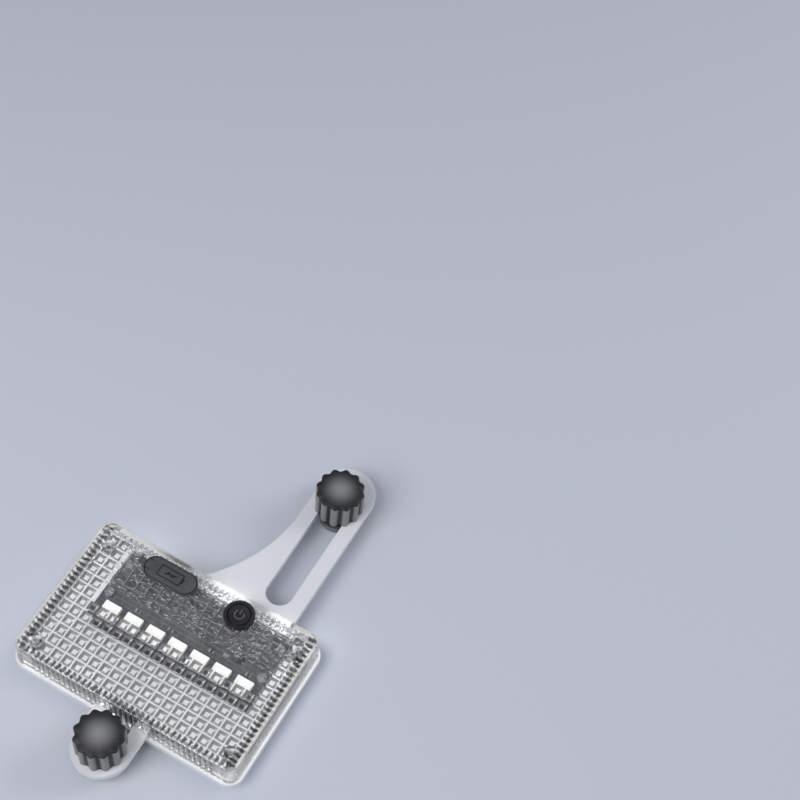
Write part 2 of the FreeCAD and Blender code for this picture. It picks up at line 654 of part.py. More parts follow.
def make_lens_cover():
    """Clear moulded cover: face, drafted walls, ribs, prism cells, screw posts, a well over
    the charging port, a hole for the button and openings where the plate comes out."""
    body = new_body("cover_body")
    make_cover_shell(body)
    add_wall_ribs(body)
    posts = new_sketch(body, "screw_posts", offset=COVER_FOOT)
    for x, y in POSTS:
        draw_circle(posts, "post_radius", x, y)
    add_pad(body, posts, "cover_height - face_thick")
    bores = new_sketch(body, "screw_bores", offset=COVER_FOOT)
    for x, y in POSTS:
        draw_circle(bores, "case_screw_radius", x, y)
    add_pocket(body, bores, "cover_height - face_thick - 1", up=True)
    add_button_hole(body, "button_hole")
    add_port_well(body, "port_well")
    bead = (BEAD_X, BEAD_Z)
    foot = (BEAD_X, f"{FACE_TOP} - face_thick / 2")
    ear_starts = {
        "front": "tether_width / 2 + tether_gap + ear_thick",
        "rear": "-tether_width / 2 - tether_gap",
    }
    for side, start in ear_starts.items():
        ear = new_sketch(body, f"{side}_ear", role="XZ_Plane", offset=f"{start} - port_y")
        draw_pill(ear, "ear_width", bead, foot)
        add_pad(body, ear, "ear_thick", down=True)
    beyond_ear = "(tether_width / 2 + ear_thick + 1)"
    ear_bore = new_sketch(body, "ear_bore", role="XZ_Plane", offset=f"{beyond_ear} - port_y")
    draw_circle(ear_bore, "bead_radius + running_fit", BEAD_X, BEAD_Z)
    add_pocket(body, ear_bore, f"2 * {beyond_ear}")
    # The tab's two legs leave through arched openings, the arm through a wide one.
    reach = "(cover_wall + wall_rib_height + cover_flare + 1)"
    outside = "(face_depth / 2 + cover_flare + 0.5)"
    legs = new_sketch(body, "leg_openings", role="XZ_Plane", offset=outside)
    middle = "((slot_half_width + tab_half_width) / 2)"
    half = "((tab_half_width - slot_half_width) / 2 + 2 * plate_gap)"
    for side in (-1, 1):
        spot = f"{side} * {middle}"
        arch_foot = f"{PLATE_TOP} - {half} / 2"
        draw_pill(legs, f"2 * {half}", (spot, f"{COVER_FOOT} - {half}"), (spot, arch_foot))
    add_pocket(body, legs, reach, up=False)
    arm = new_sketch(body, "arm_opening", role="XZ_Plane", offset=f"-{outside}")
    right = "(arm_centre + arm_half_width + plate_gap)"
    left = "(tab_half_width + plate_gap)"
    top = f"({PLATE_TOP} + plate_gap)"
    foot = f"({COVER_FOOT} - 1)"
    draw_polygon(arm, [(f"-{left}", foot), (right, foot), (right, top), (f"-{left}", top)])
    add_pocket(body, arm, reach, up=True)
    return keep(join("lens_cover", [body, make_prism_cells()]), "lens_cover")


def make_seal_strips():
    """Foam strips between the cover's foot and the flange, broken where the plate passes."""
    body = new_body("seal_ring")
    ring = new_sketch(body, "seal_outline", offset=FLANGE_TOP)
    draw_rectangle(ring, "face_length", "face_depth")
    pad = add_pad(body, ring, "seal_thick")
    low = number(FLANGE_TOP)
    high = number(COVER_FOOT)
    names = pick_edges(pad.Shape, lambda edge: is_upright(edge, low, high))
    dress(body, "Fillet", pad, "Radius", names, "corner_radius")
    inside = new_sketch(body, "seal_inside", offset=COVER_FOOT)
    draw_rectangle(inside, "face_length - 2 * seal_width", "face_depth - 2 * seal_width")
    cut = add_pocket(body, inside, "seal_thick")
    inner_reach = number("face_length / 2 - seal_width") + 1e-4

    def is_inner_corner(edge):
        return is_upright(edge, low, high) and abs(edge.BoundBox.XMax) < inner_reach

    names = pick_edges(cut.Shape, is_inner_corner)
    dress(body, "Fillet", cut, "Radius", names, "corner_radius - seal_width")
    left = "(tab_half_width + plate_gap)"
    right = "(arm_centre + arm_half_width + plate_gap)"
    across = "2 * seal_width + 2"
    tab_gap = new_box(
        "tab_seal_gap", f"2 * {left}", across, "seal_thick",
        "0", "-face_depth / 2", FLANGE_TOP,
    )
    arm_gap = new_box(
        "arm_seal_gap", f"{left} + {right}", across, "seal_thick",
        f"({right} - {left}) / 2", "face_depth / 2", FLANGE_TOP,
    )
    strips = cut_away("seal_strips", body, join("seal_gaps", [tab_gap, arm_gap]))
    return keep(strips, "seal_strips")


def make_bracket_plate():
    """Clear plate of one thickness: a round tab, a wide middle inside the case and a long
    arm that narrows along a concave curve, with a slot in the tab and in the arm."""
    body = new_body("bracket_plate")
    outline = new_sketch(body, "plate_outline", offset=FLANGE_TOP)
    arm_left = "(arm_centre - arm_half_width)"
    arm_right = "(arm_centre + arm_half_width)"
    flare_x = number(f"{arm_left} - flare_radius")
    flare_y = number("flare_start")
    meet_x = -number("tab_half_width")
    meet_y = flare_y - math.sqrt(number("flare_radius") ** 2 - (meet_x - flare_x) ** 2)
    tab_left = Vector(meet_x, -number("tab_end"), 0)
    tab_right = Vector(-meet_x, -number("tab_end"), 0)
    meet = Vector(meet_x, meet_y, 0)
    flare_top = Vector(number(arm_left), flare_y, 0)
    arm_top_left = Vector(number(arm_left), number("arm_end"), 0)
    arm_top_right = Vector(number(arm_right), number("arm_end"), 0)
    shoulder_out = Vector(number(arm_right), -number("shoulder"), 0)
    shoulder_in = Vector(tab_right.x, -number("shoulder"), 0)
    up = Vector(0, 0, 1)
    flare = Part.Circle(Vector(flare_x, flare_y, 0), up, number("flare_radius"))
    arm_middle = Vector(number("arm_centre"), number("arm_end"), 0)
    arm_cap = Part.Circle(arm_middle, up, number("arm_half_width"))
    tab_cap = Part.Circle(Vector(0, tab_left.y, 0), up, number("tab_half_width"))
    meet_angle = math.atan2(meet.y - flare_y, meet.x - flare_x)
    shapes = [
        Part.LineSegment(tab_left, meet),
        Part.ArcOfCircle(flare, meet_angle, 0),
        Part.LineSegment(flare_top, arm_top_left),
        Part.ArcOfCircle(arm_cap, 0, math.pi),
        Part.LineSegment(arm_top_right, shoulder_out),
        Part.LineSegment(shoulder_out, shoulder_in),
        Part.LineSegment(shoulder_in, tab_right),
        Part.ArcOfCircle(tab_cap, math.pi, 2 * math.pi),
    ]
    for shape in shapes:
        outline.addGeometry(shape)
    for corner in ((0, 2, 1, 1), (4, 2, 5, 1), (5, 2, 6, 1), (7, 1, 0, 1)):
        outline.addConstraint(Sketcher.Constraint("Coincident", *corner))
    for smooth in ((1, 2, 2, 1), (2, 2, 3, 2), (3, 1, 4, 1), (6, 2, 7, 2)):
        outline.addConstraint(Sketcher.Constraint("Tangent", *smooth))
    outline.addConstraint(Sketcher.Constraint("Vertical", 0))
    locate(outline, 0, 1, "-tab_half_width", "-tab_end")
    locate(outline, 1, 3, f"{arm_left} - flare_radius", "flare_start")
    set_radius(outline, 1, "flare_radius")
    locate(outline, 3, 3, "arm_centre", "arm_end")
    set_radius(outline, 3, "arm_half_width")
    locate(outline, 4, 2, arm_right, "-shoulder")
    locate(outline, 5, 2, "tab_half_width", "-shoulder")
    locate(outline, 7, 3, "0", "-tab_end")
    add_pad(body, outline, "plate_thick")
    slots = new_sketch(body, "plate_slots", offset=PLATE_TOP)
    slot_width = "2 * slot_half_width"
    draw_pill(slots, slot_width, ("arm_centre", "arm_slot_low"), ("arm_centre", "arm_end"))
    draw_pill(slots, slot_width, ("0", "-tab_end"), ("0", "-tab_slot_top"))
    for x, y in PEGS:
        draw_circle(slots, "peg_radius + peg_clearance", x, y)
    add_pocket(body, slots, "plate_thick")
    return keep(body, "bracket_plate")


def make_circuit_board():
    """Glass-fibre board on four bosses of the tray."""
    body = new_body("circuit_board")
    outline = new_sketch(body, "board_outline", offset=BOARD_UNDER)
    edges = [
        ("-board_left", "-board_low_edge"),
        ("board_right", "-board_low_edge"),
        ("board_right", "board_high_edge"),
        ("-board_left", "board_high_edge"),
    ]
    draw_polygon(outline, edges)
    add_pad(body, outline, "board_thick")
    holes = new_sketch(body, "board_holes", offset=BOARD_TOP)
    for x, y in BOARD_SCREWS:
        draw_circle(holes, "board_screw_radius + screw_clearance", x, y)
    add_pocket(body, holes, "board_thick")
    return keep(body, "circuit_board")


def make_leds():
    """A row of square LED packages, each with a round cup over its chips."""
    side = "led_side"
    y = "led_row_y"
    cup_foot = f"{BOARD_TOP} + led_thick - led_cup_depth"
    packages = []
    for i in range(int(number("led_count"))):
        x = f"led_row_x + ({i} - (led_count - 1) / 2) * led_pitch"
        case = new_box(f"led_case_{i}", side, side, "led_thick", x, y, BOARD_TOP)
        cup = new_cylinder(f"led_cup_{i}", "led_cup_radius", "led_cup_depth", x, y, cup_foot)
        packages.append(cut_away(f"led_{i}", case, cup))
    return keep(group("leds", packages), "leds")


def make_screws(name, spots, shank_radius, shank, head_radius, head, head_foot, up):
    """Like screws as one group: a cross-slotted head and a shank on one side of it."""
    screws = []
    for i, (x, y) in enumerate(spots):
        cap = new_cylinder(f"{name}_head_{i}", head_radius, head, x, y, head_foot)
        shank_foot = f"{head_foot} + {head}" if up else f"{head_foot} - ({shank})"
        stem = new_cylinder(f"{name}_shank_{i}", shank_radius, shank, x, y, shank_foot)
        solid = join(f"{name}_blank_{i}", [cap, stem])
        slot_foot = head_foot if up else f"{head_foot} + {head} / 2"
        reach = f"{head_radius} * 1.2"
        width = f"{head_radius} * 0.25"
        bars = [
            new_box(f"{name}_slot_a_{i}", reach, width, f"{head} / 2", x, y, slot_foot),
            new_box(f"{name}_slot_b_{i}", width, reach, f"{head} / 2", x, y, slot_foot),
        ]
        cross = join(f"{name}_cross_{i}", bars)
        screws.append(cut_away(f"{name}_{i}", solid, cross))
    return keep(group(name, screws), name)


def make_reflector_panel():
    """Bright panel on four legs, round three sides of the board. It is cut away round the
    screw posts, and its short arm ends below one."""
    body = new_body("reflector_panel")
    panel = new_sketch(body, "panel_outline", offset=BOARD_UNDER)
    inner = "-(board_low_edge + panel_gap)"
    long_arm = "-(board_left + panel_gap)"
    short_arm = "(board_right + panel_gap)"
    short_top = "(post_y - post_radius - 0.8)"
    edges = [
        ("-panel_half_length", "-panel_low_edge"),
        ("panel_half_length", "-panel_low_edge"),
        ("panel_half_length", short_top),
        (short_arm, short_top),
        (short_arm, inner),
        (long_arm, inner),
        (long_arm, "board_high_edge"),
        ("-panel_half_length", "board_high_edge"),
    ]
    draw_polygon(panel, edges)
    add_pad(body, panel, "panel_thick")
    legs = new_sketch(body, "panel_legs", offset=BOARD_UNDER)
    for side in (-1, 1):
        for y in ("-panel_leg_high", "-panel_leg_low"):
            draw_circle(legs, "panel_leg_radius", f"{side} * panel_leg_x", y)
    add_pad(body, legs, f"{BOARD_UNDER} - tray_floor", down=True)
    corners = new_sketch(body, "panel_corners", offset=f"{BOARD_UNDER} + panel_thick")
    # The fourth post stands beyond the short arm's end.
    for x, y in POSTS[:3]:
        draw_circle(corners, "post_radius + 2 * screw_clearance", x, y)
    add_pocket(body, corners, "panel_thick")
    return keep(body, "reflector_panel")


def make_light_baffle():
    """Dark foam bar between the LEDs and the reflector, which keeps stray light down."""
    length = "(board_right + baffle_left)"
    centre = "(board_right - baffle_left) / 2"
    middle = "-(board_low_edge + panel_gap + baffle_width / 2)"
    foot = f"{BOARD_UNDER} + panel_thick"
    bar = new_box("light_baffle", length, "baffle_width", "baffle_height", centre, middle, foot)
    return keep(bar, "light_baffle")


def make_battery():
    """Flat pouch cell with rounded long edges, and the foam pad that it is stuck to."""
    pad = new_box(
        "battery_pad", "battery_length * 0.9", "battery_width * 0.8", "pad_thick",
        "battery_x", "battery_y", "tray_floor",
    )
    keep(pad, "battery_pad")
    body = new_body("battery")
    end = new_sketch(body, "cell_outline", offset="tray_floor + pad_thick")
    draw_rectangle(end, "battery_length", "battery_width", "battery_x", "battery_y")
    cell = add_pad(body, end, "battery_thick")

    def runs_along(edge):
        box = edge.BoundBox
        return box.XLength > box.YLength + box.ZLength

    dress(body, "Fillet", cell, "Radius", pick_edges(cell.Shape, runs_along), "battery_round")
    return keep(body, "battery")


def make_lead(name, x):
    """One battery lead: out of the cell's long side, along the tray and up to the board."""
    middle = "(tray_floor + pad_thick + battery_thick / 2)"
    start = "(battery_y + battery_width / 2)"
    bend_y = "(-lead_landing - lead_bend)"
    bend_z = f"({middle} + lead_bend)"
    run = new_cylinder(f"{name}_run", "lead_radius", f"{bend_y} - {start}", x, start, middle)
    run.Placement.Rotation = Rotation(Vector(1, 0, 0), -90)
    bend = doc.addObject("Part::Torus", f"{name}_bend")
    bind(bend, "Radius1", "lead_bend")
    bind(bend, "Radius2", "lead_radius")
    bend.Angle3 = 90
    bend.Placement.Rotation = Rotation(Vector(0, 1, 0), 90)
    place(bend, x, bend_y, bend_z)
    climb = f"{BOARD_UNDER} - lead_seat - {bend_z}"
    rise = new_cylinder(f"{name}_rise", "lead_radius", climb, x, "-lead_landing", bend_z)
    return join(name, [run, bend, rise])


def make_battery_leads():
    """Two sleeved leads from the pouch cell to the board, side by side."""
    leads = [
        make_lead("left_lead", "lead_x - lead_spacing / 2"),
        make_lead("right_lead", "lead_x + lead_spacing / 2"),
    ]
    return keep(group("battery_leads", leads), "battery_leads")


def make_charging_port():
    """Upright charging socket on the board: a sheet-metal shell round an insulator with a
    tongue."""
    body = new_body("usb_shell")
    outer = new_sketch(body, "shell_outline")
    reach = "(port_shell_length - port_shell_width) / 2"
    draw_pill(outer, "port_shell_width", (f"-{reach}", "0"), (reach, "0"))
    add_pad(body, outer, "port_shell_height")
    inner = new_sketch(body, "shell_bore", offset="port_shell_height")
    draw_pill(inner, "port_shell_width - 2 * port_shell_wall", (f"-{reach}", "0"), (reach, "0"))
    add_pocket(body, inner, "port_shell_height")
    keep(place(body, "port_x", "port_y", BOARD_TOP), "usb_shell")
    body = new_body("usb_tongue")
    base = new_sketch(body, "insulator_outline")
    draw_pill(base, "port_shell_width - 2 * port_shell_wall", (f"-{reach}", "0"), (reach, "0"))
    add_pad(body, base, "port_base_height")
    tongue = new_sketch(body, "tongue_outline", offset="port_base_height")
    draw_rectangle(tongue, "port_tongue_length", "port_tongue_thick")
    add_pad(body, tongue, "port_shell_height - port_base_height - 0.6")
    keep(place(body, "port_x", "port_y", BOARD_TOP), "usb_tongue")


def make_port_cover():
    """Rubber pill over the charging port, with a plug below it and a tether that ends in a
    bead. Its own origin is the bead's centre, where it turns."""
    body = new_body("port_cover")
    start = "tether_length"
    left = f"({start} + flap_width / 2)"
    right = f"({start} + flap_length - flap_width / 2)"
    under = "-flap_thick / 2"
    cover = new_sketch(body, "flap_outline", offset=under)
    draw_pill(cover, "flap_width", (left, "0"), (right, "0"))
    pad = add_pad(body, cover, "flap_thick")
    top = number("flap_thick / 2")
    names = pick_edges(pad.Shape, lambda edge: edge.BoundBox.ZMin > top - 1e-6)
    dress(body, "Chamfer", pad, "Size", names, "flap_thick * 0.4")
    tether = new_sketch(body, "tether_outline", offset=under)
    draw_rectangle(tether, f"{left}", "tether_width", f"{left} / 2", "0")
    add_pad(body, tether, "flap_thick * 0.75")
    bead_length = "(tether_width + 2 * (tether_gap + ear_thick))"
    bead = new_sketch(body, "bead_outline", role="XZ_Plane", offset=f"{bead_length} / 2")
    draw_circle(bead, "bead_radius")
    add_pad(body, bead, bead_length, down=True)
    plug = new_sketch(body, "plug_outline", offset=under)
    middle = f"({start} + flap_length / 2)"
    width = "(well_width - 2 * flap_plug_gap)"
    reach = f"((well_length - 2 * flap_plug_gap - {width}) / 2)"
    draw_pill(plug, width, (f"{middle} - {reach}", "0"), (f"{middle} + {reach}", "0"))
    add_pad(body, plug, "flap_gap + flap_plug_depth", down=True)
    return keep(place(body, BEAD_X, "port_y", BEAD_Z), "port_cover")


def make_button():
    """Push button: a bezel ring in the face, a cap held behind it, and the tact switch with
    the stem that the cap pushes."""
    ring = new_body("button_ring")
    profile = new_sketch(ring, "ring_profile", role="XZ_Plane")
    outline = [
        ("ring_bore_radius", "-face_thick"),
        ("ring_neck_radius", "-face_thick"),
        ("ring_neck_radius", "0"),
        ("ring_radius", "0"),
        ("ring_radius", "ring_height - 0.35"),
        ("ring_radius - 0.35", "ring_height"),
        ("ring_bore_radius + 0.2", "ring_height"),
        ("ring_bore_radius", "ring_height - 0.2"),
    ]
    draw_polygon(profile, outline)
    add_turned(ring, profile)
    keep(place(ring, "button_x", "button_y", FACE_TOP), "button_ring")
    cap = new_body("button_cap")
    profile = new_sketch(cap, "cap_profile", role="XZ_Plane")
    flange_top = "(-face_thick - 0.1)"
    flange_foot = f"({flange_top} - cap_flange_thick)"
    post_foot = f"(-({FACE_TOP} - {BOARD_TOP} - switch_height - stem_above))"
    outline = [
        ("0", post_foot),
        ("cap_post_radius", post_foot),
        ("cap_post_radius", flange_foot),
        ("cap_flange_radius", flange_foot),
        ("cap_flange_radius", flange_top),
        ("cap_radius", flange_top),
        ("cap_radius", "cap_height - 0.3"),
        ("cap_radius - 0.3", "cap_height"),
        ("cap_radius * 0.6", "cap_height - cap_dish"),
        ("0", "cap_height - cap_dish"),
    ]
    draw_polygon(profile, outline)
    add_turned(cap, profile)
    keep(place(cap, "button_x", "button_y", FACE_TOP), "button_cap")
    case = new_box(
        "switch_case", "switch_side", "switch_side", "switch_height",
        "button_x", "button_y", BOARD_TOP,
    )
    depth = "(button_travel + 0.5)"
    bore_foot = f"{BOARD_TOP} + switch_height - {depth}"
    bore = new_cylinder(
        "switch_bore", "stem_radius + stem_fit", depth, "button_x", "button_y", bore_foot
    )
    keep(cut_away("tact_switch", case, bore), "tact_switch")
    stem_foot = f"{bore_foot} + button_travel + 0.1"
    stem_length = "(0.4 + stem_above)"
    stem = new_cylinder(
        "switch_stem", "stem_radius", stem_length, "button_x", "button_y", stem_foot
    )
    keep(stem, "switch_stem")


def make_chip(name, length, width, height, lead_count, x, y):
    """Chip under the board: a moulded case with a row of leads on each long side."""
    foot = f"{BOARD_UNDER} - {height}"
    pieces = [new_box(f"{name}_case", length, width, height, x, y, foot)]
    pin_width = "0.4"
    pin_thick = "0.25"
    pin_foot = f"{BOARD_UNDER} - {pin_thick}"
    reach = f"({width}) + 1.6"
    for i in range(lead_count):
        spot = f"{x} + ({i} - {(lead_count - 1) / 2}) * {length} / {lead_count}"
        pin = new_box(f"{name}_pin_{i}", pin_width, reach, pin_thick, spot, y, pin_foot)
        pieces.append(pin)
    return keep(join(name, pieces), name)


def make_motion_sensor():
    """Small metal can on its side under the board, which wakes the light."""
    can = doc.addObject("Part::Cylinder", "motion_sensor")
    bind(can, "Radius", "sensor_radius")
    bind(can, "Height", "sensor_length")
    can.Placement.Rotation = Rotation(Vector(0, 1, 0), 90)
    place(can, "sensor_x - sensor_length / 2", "sensor_y", f"{BOARD_UNDER} - sensor_radius")
    return keep(can, "motion_sensor")


def make_knob(prefix, x, y):
    """Fluted thumb knob with a low domed top, and the brass insert moulded into it."""
    body = new_body(f"{prefix}_knob")
    profile = new_sketch(body, f"{prefix}_knob_profile", role="XZ_Plane")
    shoulder = "(knob_height - knob_dome)"
    outline = [
        ("0", "0"),
        ("knob_radius", "0"),
        ("knob_radius", f"{shoulder} - knob_edge"),
        ("knob_radius - knob_edge", shoulder),
        ("knob_radius * 0.55", "knob_height - knob_dome * 0.3"),
        ("0", "knob_height"),
    ]
    draw_polygon(profile, outline)
    add_turned(body, profile)
    flute = new_sketch(body, f"{prefix}_flute", offset="knob_height")
    draw_circle(flute, "flute_radius", "knob_radius - flute_depth + flute_radius", "0")
    cut = add_pocket(body, flute, "knob_height")
    flutes = body.newObject("PartDesign::PolarPattern", f"{prefix}_flutes")
    flutes.Originals = [cut]
    axis = [item for item in body.Origin.OriginFeatures if item.Role == "Z_Axis"][0]
    flutes.Axis = (axis, [""])
    flutes.Angle = 360
    bind(flutes, "Occurrences", "lobe_count")
    body.Tip = flutes
    doc.recompute()
    bore = new_sketch(body, f"{prefix}_knob_bore")
    draw_circle(bore, "insert_radius")
    add_pocket(body, bore, "insert_height + 0.4", up=True)
    keep(place(body, x, y, KNOB_FOOT), f"{prefix}_knob")
    insert = new_body(f"{prefix}_knob_insert")
    wall = new_sketch(insert, f"{prefix}_insert_outline")
    draw_circle(wall, "insert_radius")
    draw_circle(wall, "stud_radius + running_fit")
    add_pad(insert, wall, "insert_height")
    keep(place(insert, x, y, KNOB_FOOT), f"{prefix}_knob_insert")


def make_shoe(prefix, x, y):
    """Slot shoe: a round foot under the plate and a boss that slides in the slot, with a
    flat-sided bore that keeps the stud from turning."""
    body = new_body(f"{prefix}_shoe_blank")
    foot = new_sketch(body, f"{prefix}_shoe_foot")
    draw_circle(foot, "shoe_radius")
    add_pad(body, foot, "shoe_thick")
    boss = new_sketch(body, f"{prefix}_shoe_boss", offset="shoe_thick")
    draw_circle(boss, "slot_half_width - shoe_side_gap")
    add_pad(body, boss, "plate_thick")
    bore_blank = new_body(f"{prefix}_shoe_bore")
    bore = new_sketch(bore_blank, f"{prefix}_bore_round")
    draw_circle(bore, "stud_radius + running_fit")
    add_pad(bore_blank, bore, "shoe_thick + plate_thick + shoe_float")
    for side in (-1, 1):
        side_name = "low" if side < 0 else "high"
        flat = new_sketch(bore_blank, f"{prefix}_bore_flat_{side_name}")
        middle = f"{side} * (stud_flats / 2 + running_fit + stud_radius)"
        draw_rectangle(flat, "4 * stud_radius", "2 * stud_radius", "0", middle)
        add_pocket(bore_blank, flat, "shoe_thick + plate_thick + shoe_float", up=True)
    shoe = cut_away(f"{prefix}_slot_shoe_bored", body, bore_blank)
    return keep(place(shoe, x, y, SHOE_FOOT), f"{prefix}_slot_shoe")


def make_stud(prefix, x, y):
    """Clamp stud: a rim that carries the clamp head, a round shoulder that the head turns
    on, and a threaded shank with two flats."""
    body = new_body(f"{prefix}_clamp_stud")
    rim = new_sketch(body, f"{prefix}_stud_rim")
    draw_circle(rim, "stud_rim_radius")
    add_pad(body, rim, "stud_rim_thick")
    shank = new_sketch(body, f"{prefix}_stud_shank", offset="stud_rim_thick")
    draw_circle(shank, "stud_radius")
    top = f"({PLATE_TOP} + stud_above - {HEAD_FOOT})"
    add_pad(body, shank, f"{top} - stud_rim_thick")
    for side in (-1, 1):
        side_name = "low" if side < 0 else "high"
        flat = new_sketch(body, f"{prefix}_stud_flat_{side_name}", offset=top)
        middle = f"{side} * (stud_flats / 2 + stud_radius)"
        draw_rectangle(flat, "4 * stud_radius", "2 * stud_radius", "0", middle)
        add_pocket(body, flat, f"{top} - head_height")
    return keep(place(body, x, y, HEAD_FOOT), f"{prefix}_clamp_stud")


def make_clamp_head(prefix, x, y):
    """Round clamp head that turns on the stud, with a half-round groove for the spoke beside
    the stud and a recess below for the stud's rim."""
    body = new_body(f"{prefix}_clamp_head")
    outline = new_sketch(body, f"{prefix}_head_outline")
    draw_circle(outline, "head_radius")
    pad = add_pad(body, outline, "head_height")
    dress(body, "Chamfer", pad, "Size", pick_edges(pad.Shape, is_level), "head_edge")
    bore = new_sketch(body, f"{prefix}_head_bore")
    draw_circle(bore, "stud_radius + running_fit")
    add_pocket(body, bore, "head_height", up=True)
    recess = new_sketch(body, f"{prefix}_head_recess")
    draw_circle(recess, "stud_rim_radius + 2 * running_fit")
    add_pocket(body, recess, "stud_rim_thick + running_fit", up=True)
    groove = new_sketch(body, f"{prefix}_spoke_groove", role="XZ_Plane", offset="head_radius")
    deep = ("spoke_offset", "head_height + head_gap - spoke_radius")
    mouth = ("spoke_offset", "head_height + head_gap + spoke_radius")
    draw_pill(groove, "2 * spoke_radius", deep, mouth)
    add_pocket(body, groove, "2 * head_radius")
    return keep(place(body, x, y, HEAD_FOOT), f"{prefix}_clamp_head")


def make_clamp(prefix, x, y):
    """Everything at one end of the plate that holds a spoke."""
    make_knob(prefix, x, y)
    make_shoe(prefix, x, y)
    make_stud(prefix, x, y)
    make_clamp_head(prefix, x, y)


make_back_cover()
make_lens_cover()
make_seal_strips()
make_bracket_plate()
make_circuit_board()
make_leds()
make_screws(
    "case_screws", POSTS, "case_screw_radius", "case_screw_length",
    "case_head_radius", "case_head_thick", "screw_clearance", True,
)
make_screws(
    "board_screws", BOARD_SCREWS, "board_screw_radius", "board_thick + board_screw_length * 0.9",
    "board_head_radius", "board_head_thick", BOARD_TOP, False,
)
make_reflector_panel()
make_light_baffle()
make_battery()
make_battery_leads()
make_charging_port()
make_port_cover()
make_button()
make_chip("controller_chip", "4.9", "3.9", "1.4", 4, "controller_x", "controller_y")
make_chip("charge_chip", "2.9", "1.6", "1.1", 3, "charger_x", "charger_y")
make_motion_sensor()
make_clamp("arm", "arm_centre", "arm_clamp_y")
make_clamp("tab", "0", "tab_clamp_y")

doc.recompute()
for item in doc.Objects:
    if "Invalid" in item.State or "Error" in item.State:
        raise RuntimeError(f"{item.Name} is {item.State}")
os.makedirs("parts", exist_ok=True)
for node in nodes:
    if node.Shape.isNull() or not node.Shape.isValid():
        raise RuntimeError(f"{node.Label} has no valid shape")
for node in nodes:
    node.Shape.exportStep(f"parts/{node.Label}.step")
    print(f"{node.Label}: {len(node.Shape.Solids)} solids, {node.Shape.Volume:.1f} mm3")
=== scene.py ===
import math

import bmesh
import bpy
from mathutils import Matrix, Vector


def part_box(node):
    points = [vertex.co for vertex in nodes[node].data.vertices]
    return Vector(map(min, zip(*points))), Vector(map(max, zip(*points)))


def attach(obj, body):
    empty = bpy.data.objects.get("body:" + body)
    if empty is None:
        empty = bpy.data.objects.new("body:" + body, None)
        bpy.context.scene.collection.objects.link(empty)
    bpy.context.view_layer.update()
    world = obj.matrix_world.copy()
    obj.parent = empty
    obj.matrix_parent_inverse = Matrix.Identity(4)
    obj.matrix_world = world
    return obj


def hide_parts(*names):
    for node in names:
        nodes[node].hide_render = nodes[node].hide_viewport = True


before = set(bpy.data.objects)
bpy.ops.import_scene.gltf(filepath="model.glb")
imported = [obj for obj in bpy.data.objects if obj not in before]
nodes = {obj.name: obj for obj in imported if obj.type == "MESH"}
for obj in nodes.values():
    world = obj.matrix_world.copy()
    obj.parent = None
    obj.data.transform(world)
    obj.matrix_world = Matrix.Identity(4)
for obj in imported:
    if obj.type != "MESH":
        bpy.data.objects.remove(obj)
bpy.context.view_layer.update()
scene = bpy.context.scene

# The picture: the light lies on its flat back and is seen from well above and from its lower
# right, through a long lens. It sits low on the left of the frame, as in a product picture
# that leaves the rest of the frame free.
VIEW_TURN = math.radians(24.99)
VIEW_RISE = math.radians(58.52)
VIEW_ROLL = math.radians(6.04)
VIEW_PLACE = (0.11889, -0.15136, 0.42835)

camera_data = bpy.data.cameras.new("camera")
camera_data.lens = 75.65
camera_data.sensor_width = 36
camera_data.shift_x = 0.06
camera_data.shift_y = 0.06
camera_data.clip_start = 0.01
camera_data.clip_end = 20
camera = bpy.data.objects.new("camera", camera_data)
scene.collection.objects.link(camera)
scene.camera = camera
back = Vector((
    math.sin(VIEW_TURN) * math.cos(VIEW_RISE),
    -math.cos(VIEW_TURN) * math.cos(VIEW_RISE),
    math.sin(VIEW_RISE),
))
level = Vector((math.cos(VIEW_TURN), math.sin(VIEW_TURN), 0))
rise = back.cross(level)
right = level * math.cos(VIEW_ROLL) + rise * math.sin(VIEW_ROLL)
up = rise * math.cos(VIEW_ROLL) - level * math.sin(VIEW_ROLL)
turned = Matrix((right, up, back)).transposed().to_4x4()
camera.matrix_world = Matrix.Translation(VIEW_PLACE) @ turned

# The studio: a pale matt table, a large soft lamp over the viewer's left shoulder and a
# weaker one from behind the long arm, in a dim room, so that the clear mouldings get dark
# streaks as well as bright ones.
scene.view_settings.view_transform = "Standard"


def area_lamp(name, place, size, watts):
    """A soft square lamp that faces the object."""
    lamp = bpy.data.lights.new(name, "AREA")
    lamp.size = size
    lamp.energy = watts
    holder = bpy.data.objects.new(name, lamp)
    scene.collection.objects.link(holder)
    holder.location = place
    holder.rotation_euler = (-Vector(place)).to_track_quat("-Z", "Y").to_euler()


area_lamp("key_lamp", (-0.16, -0.34, 0.52), 0.36, 2.2)
area_lamp("back_lamp", (0.42, 0.42, 0.4), 0.3, 1.1)
world = bpy.data.worlds.new("studio")
scene.world = world
world.use_nodes = True
room = world.node_tree.nodes["Background"]
room.inputs["Color"].default_value = (0.86, 0.9, 1.0, 1)
room.inputs["Strength"].default_value = 0.38

bpy.ops.object.select_all(action="DESELECT")
bpy.ops.mesh.primitive_plane_add(size=4, location=(0, 0, -0.00005))
table_top = bpy.context.object
table_top.name = "table_top"
table_paint = bpy.data.materials.new("pale_table")
table_paint.use_nodes = True
table_shader = table_paint.node_tree.nodes["Principled BSDF"]
table_shader.inputs["Base Color"].default_value = (0.6, 0.63, 0.69, 1)
table_shader.inputs["Roughness"].default_value = 0.85
table_top.data.materials.append(table_paint)

# The rear tray: a shallow box moulded in clear polycarbonate, slightly milky, with a flange
# all round that the cover closes on. It comes out of a polished mould, so its skin is
# smooth, with slow changes in thickness and gloss.
MM = 0.001


def feed(tree, value, socket):
    """Links a socket to another node's, or sets it to a plain value."""
    if isinstance(value, bpy.types.NodeSocket):
        tree.links.new(value, socket)
    else:
        socket.default_value = value


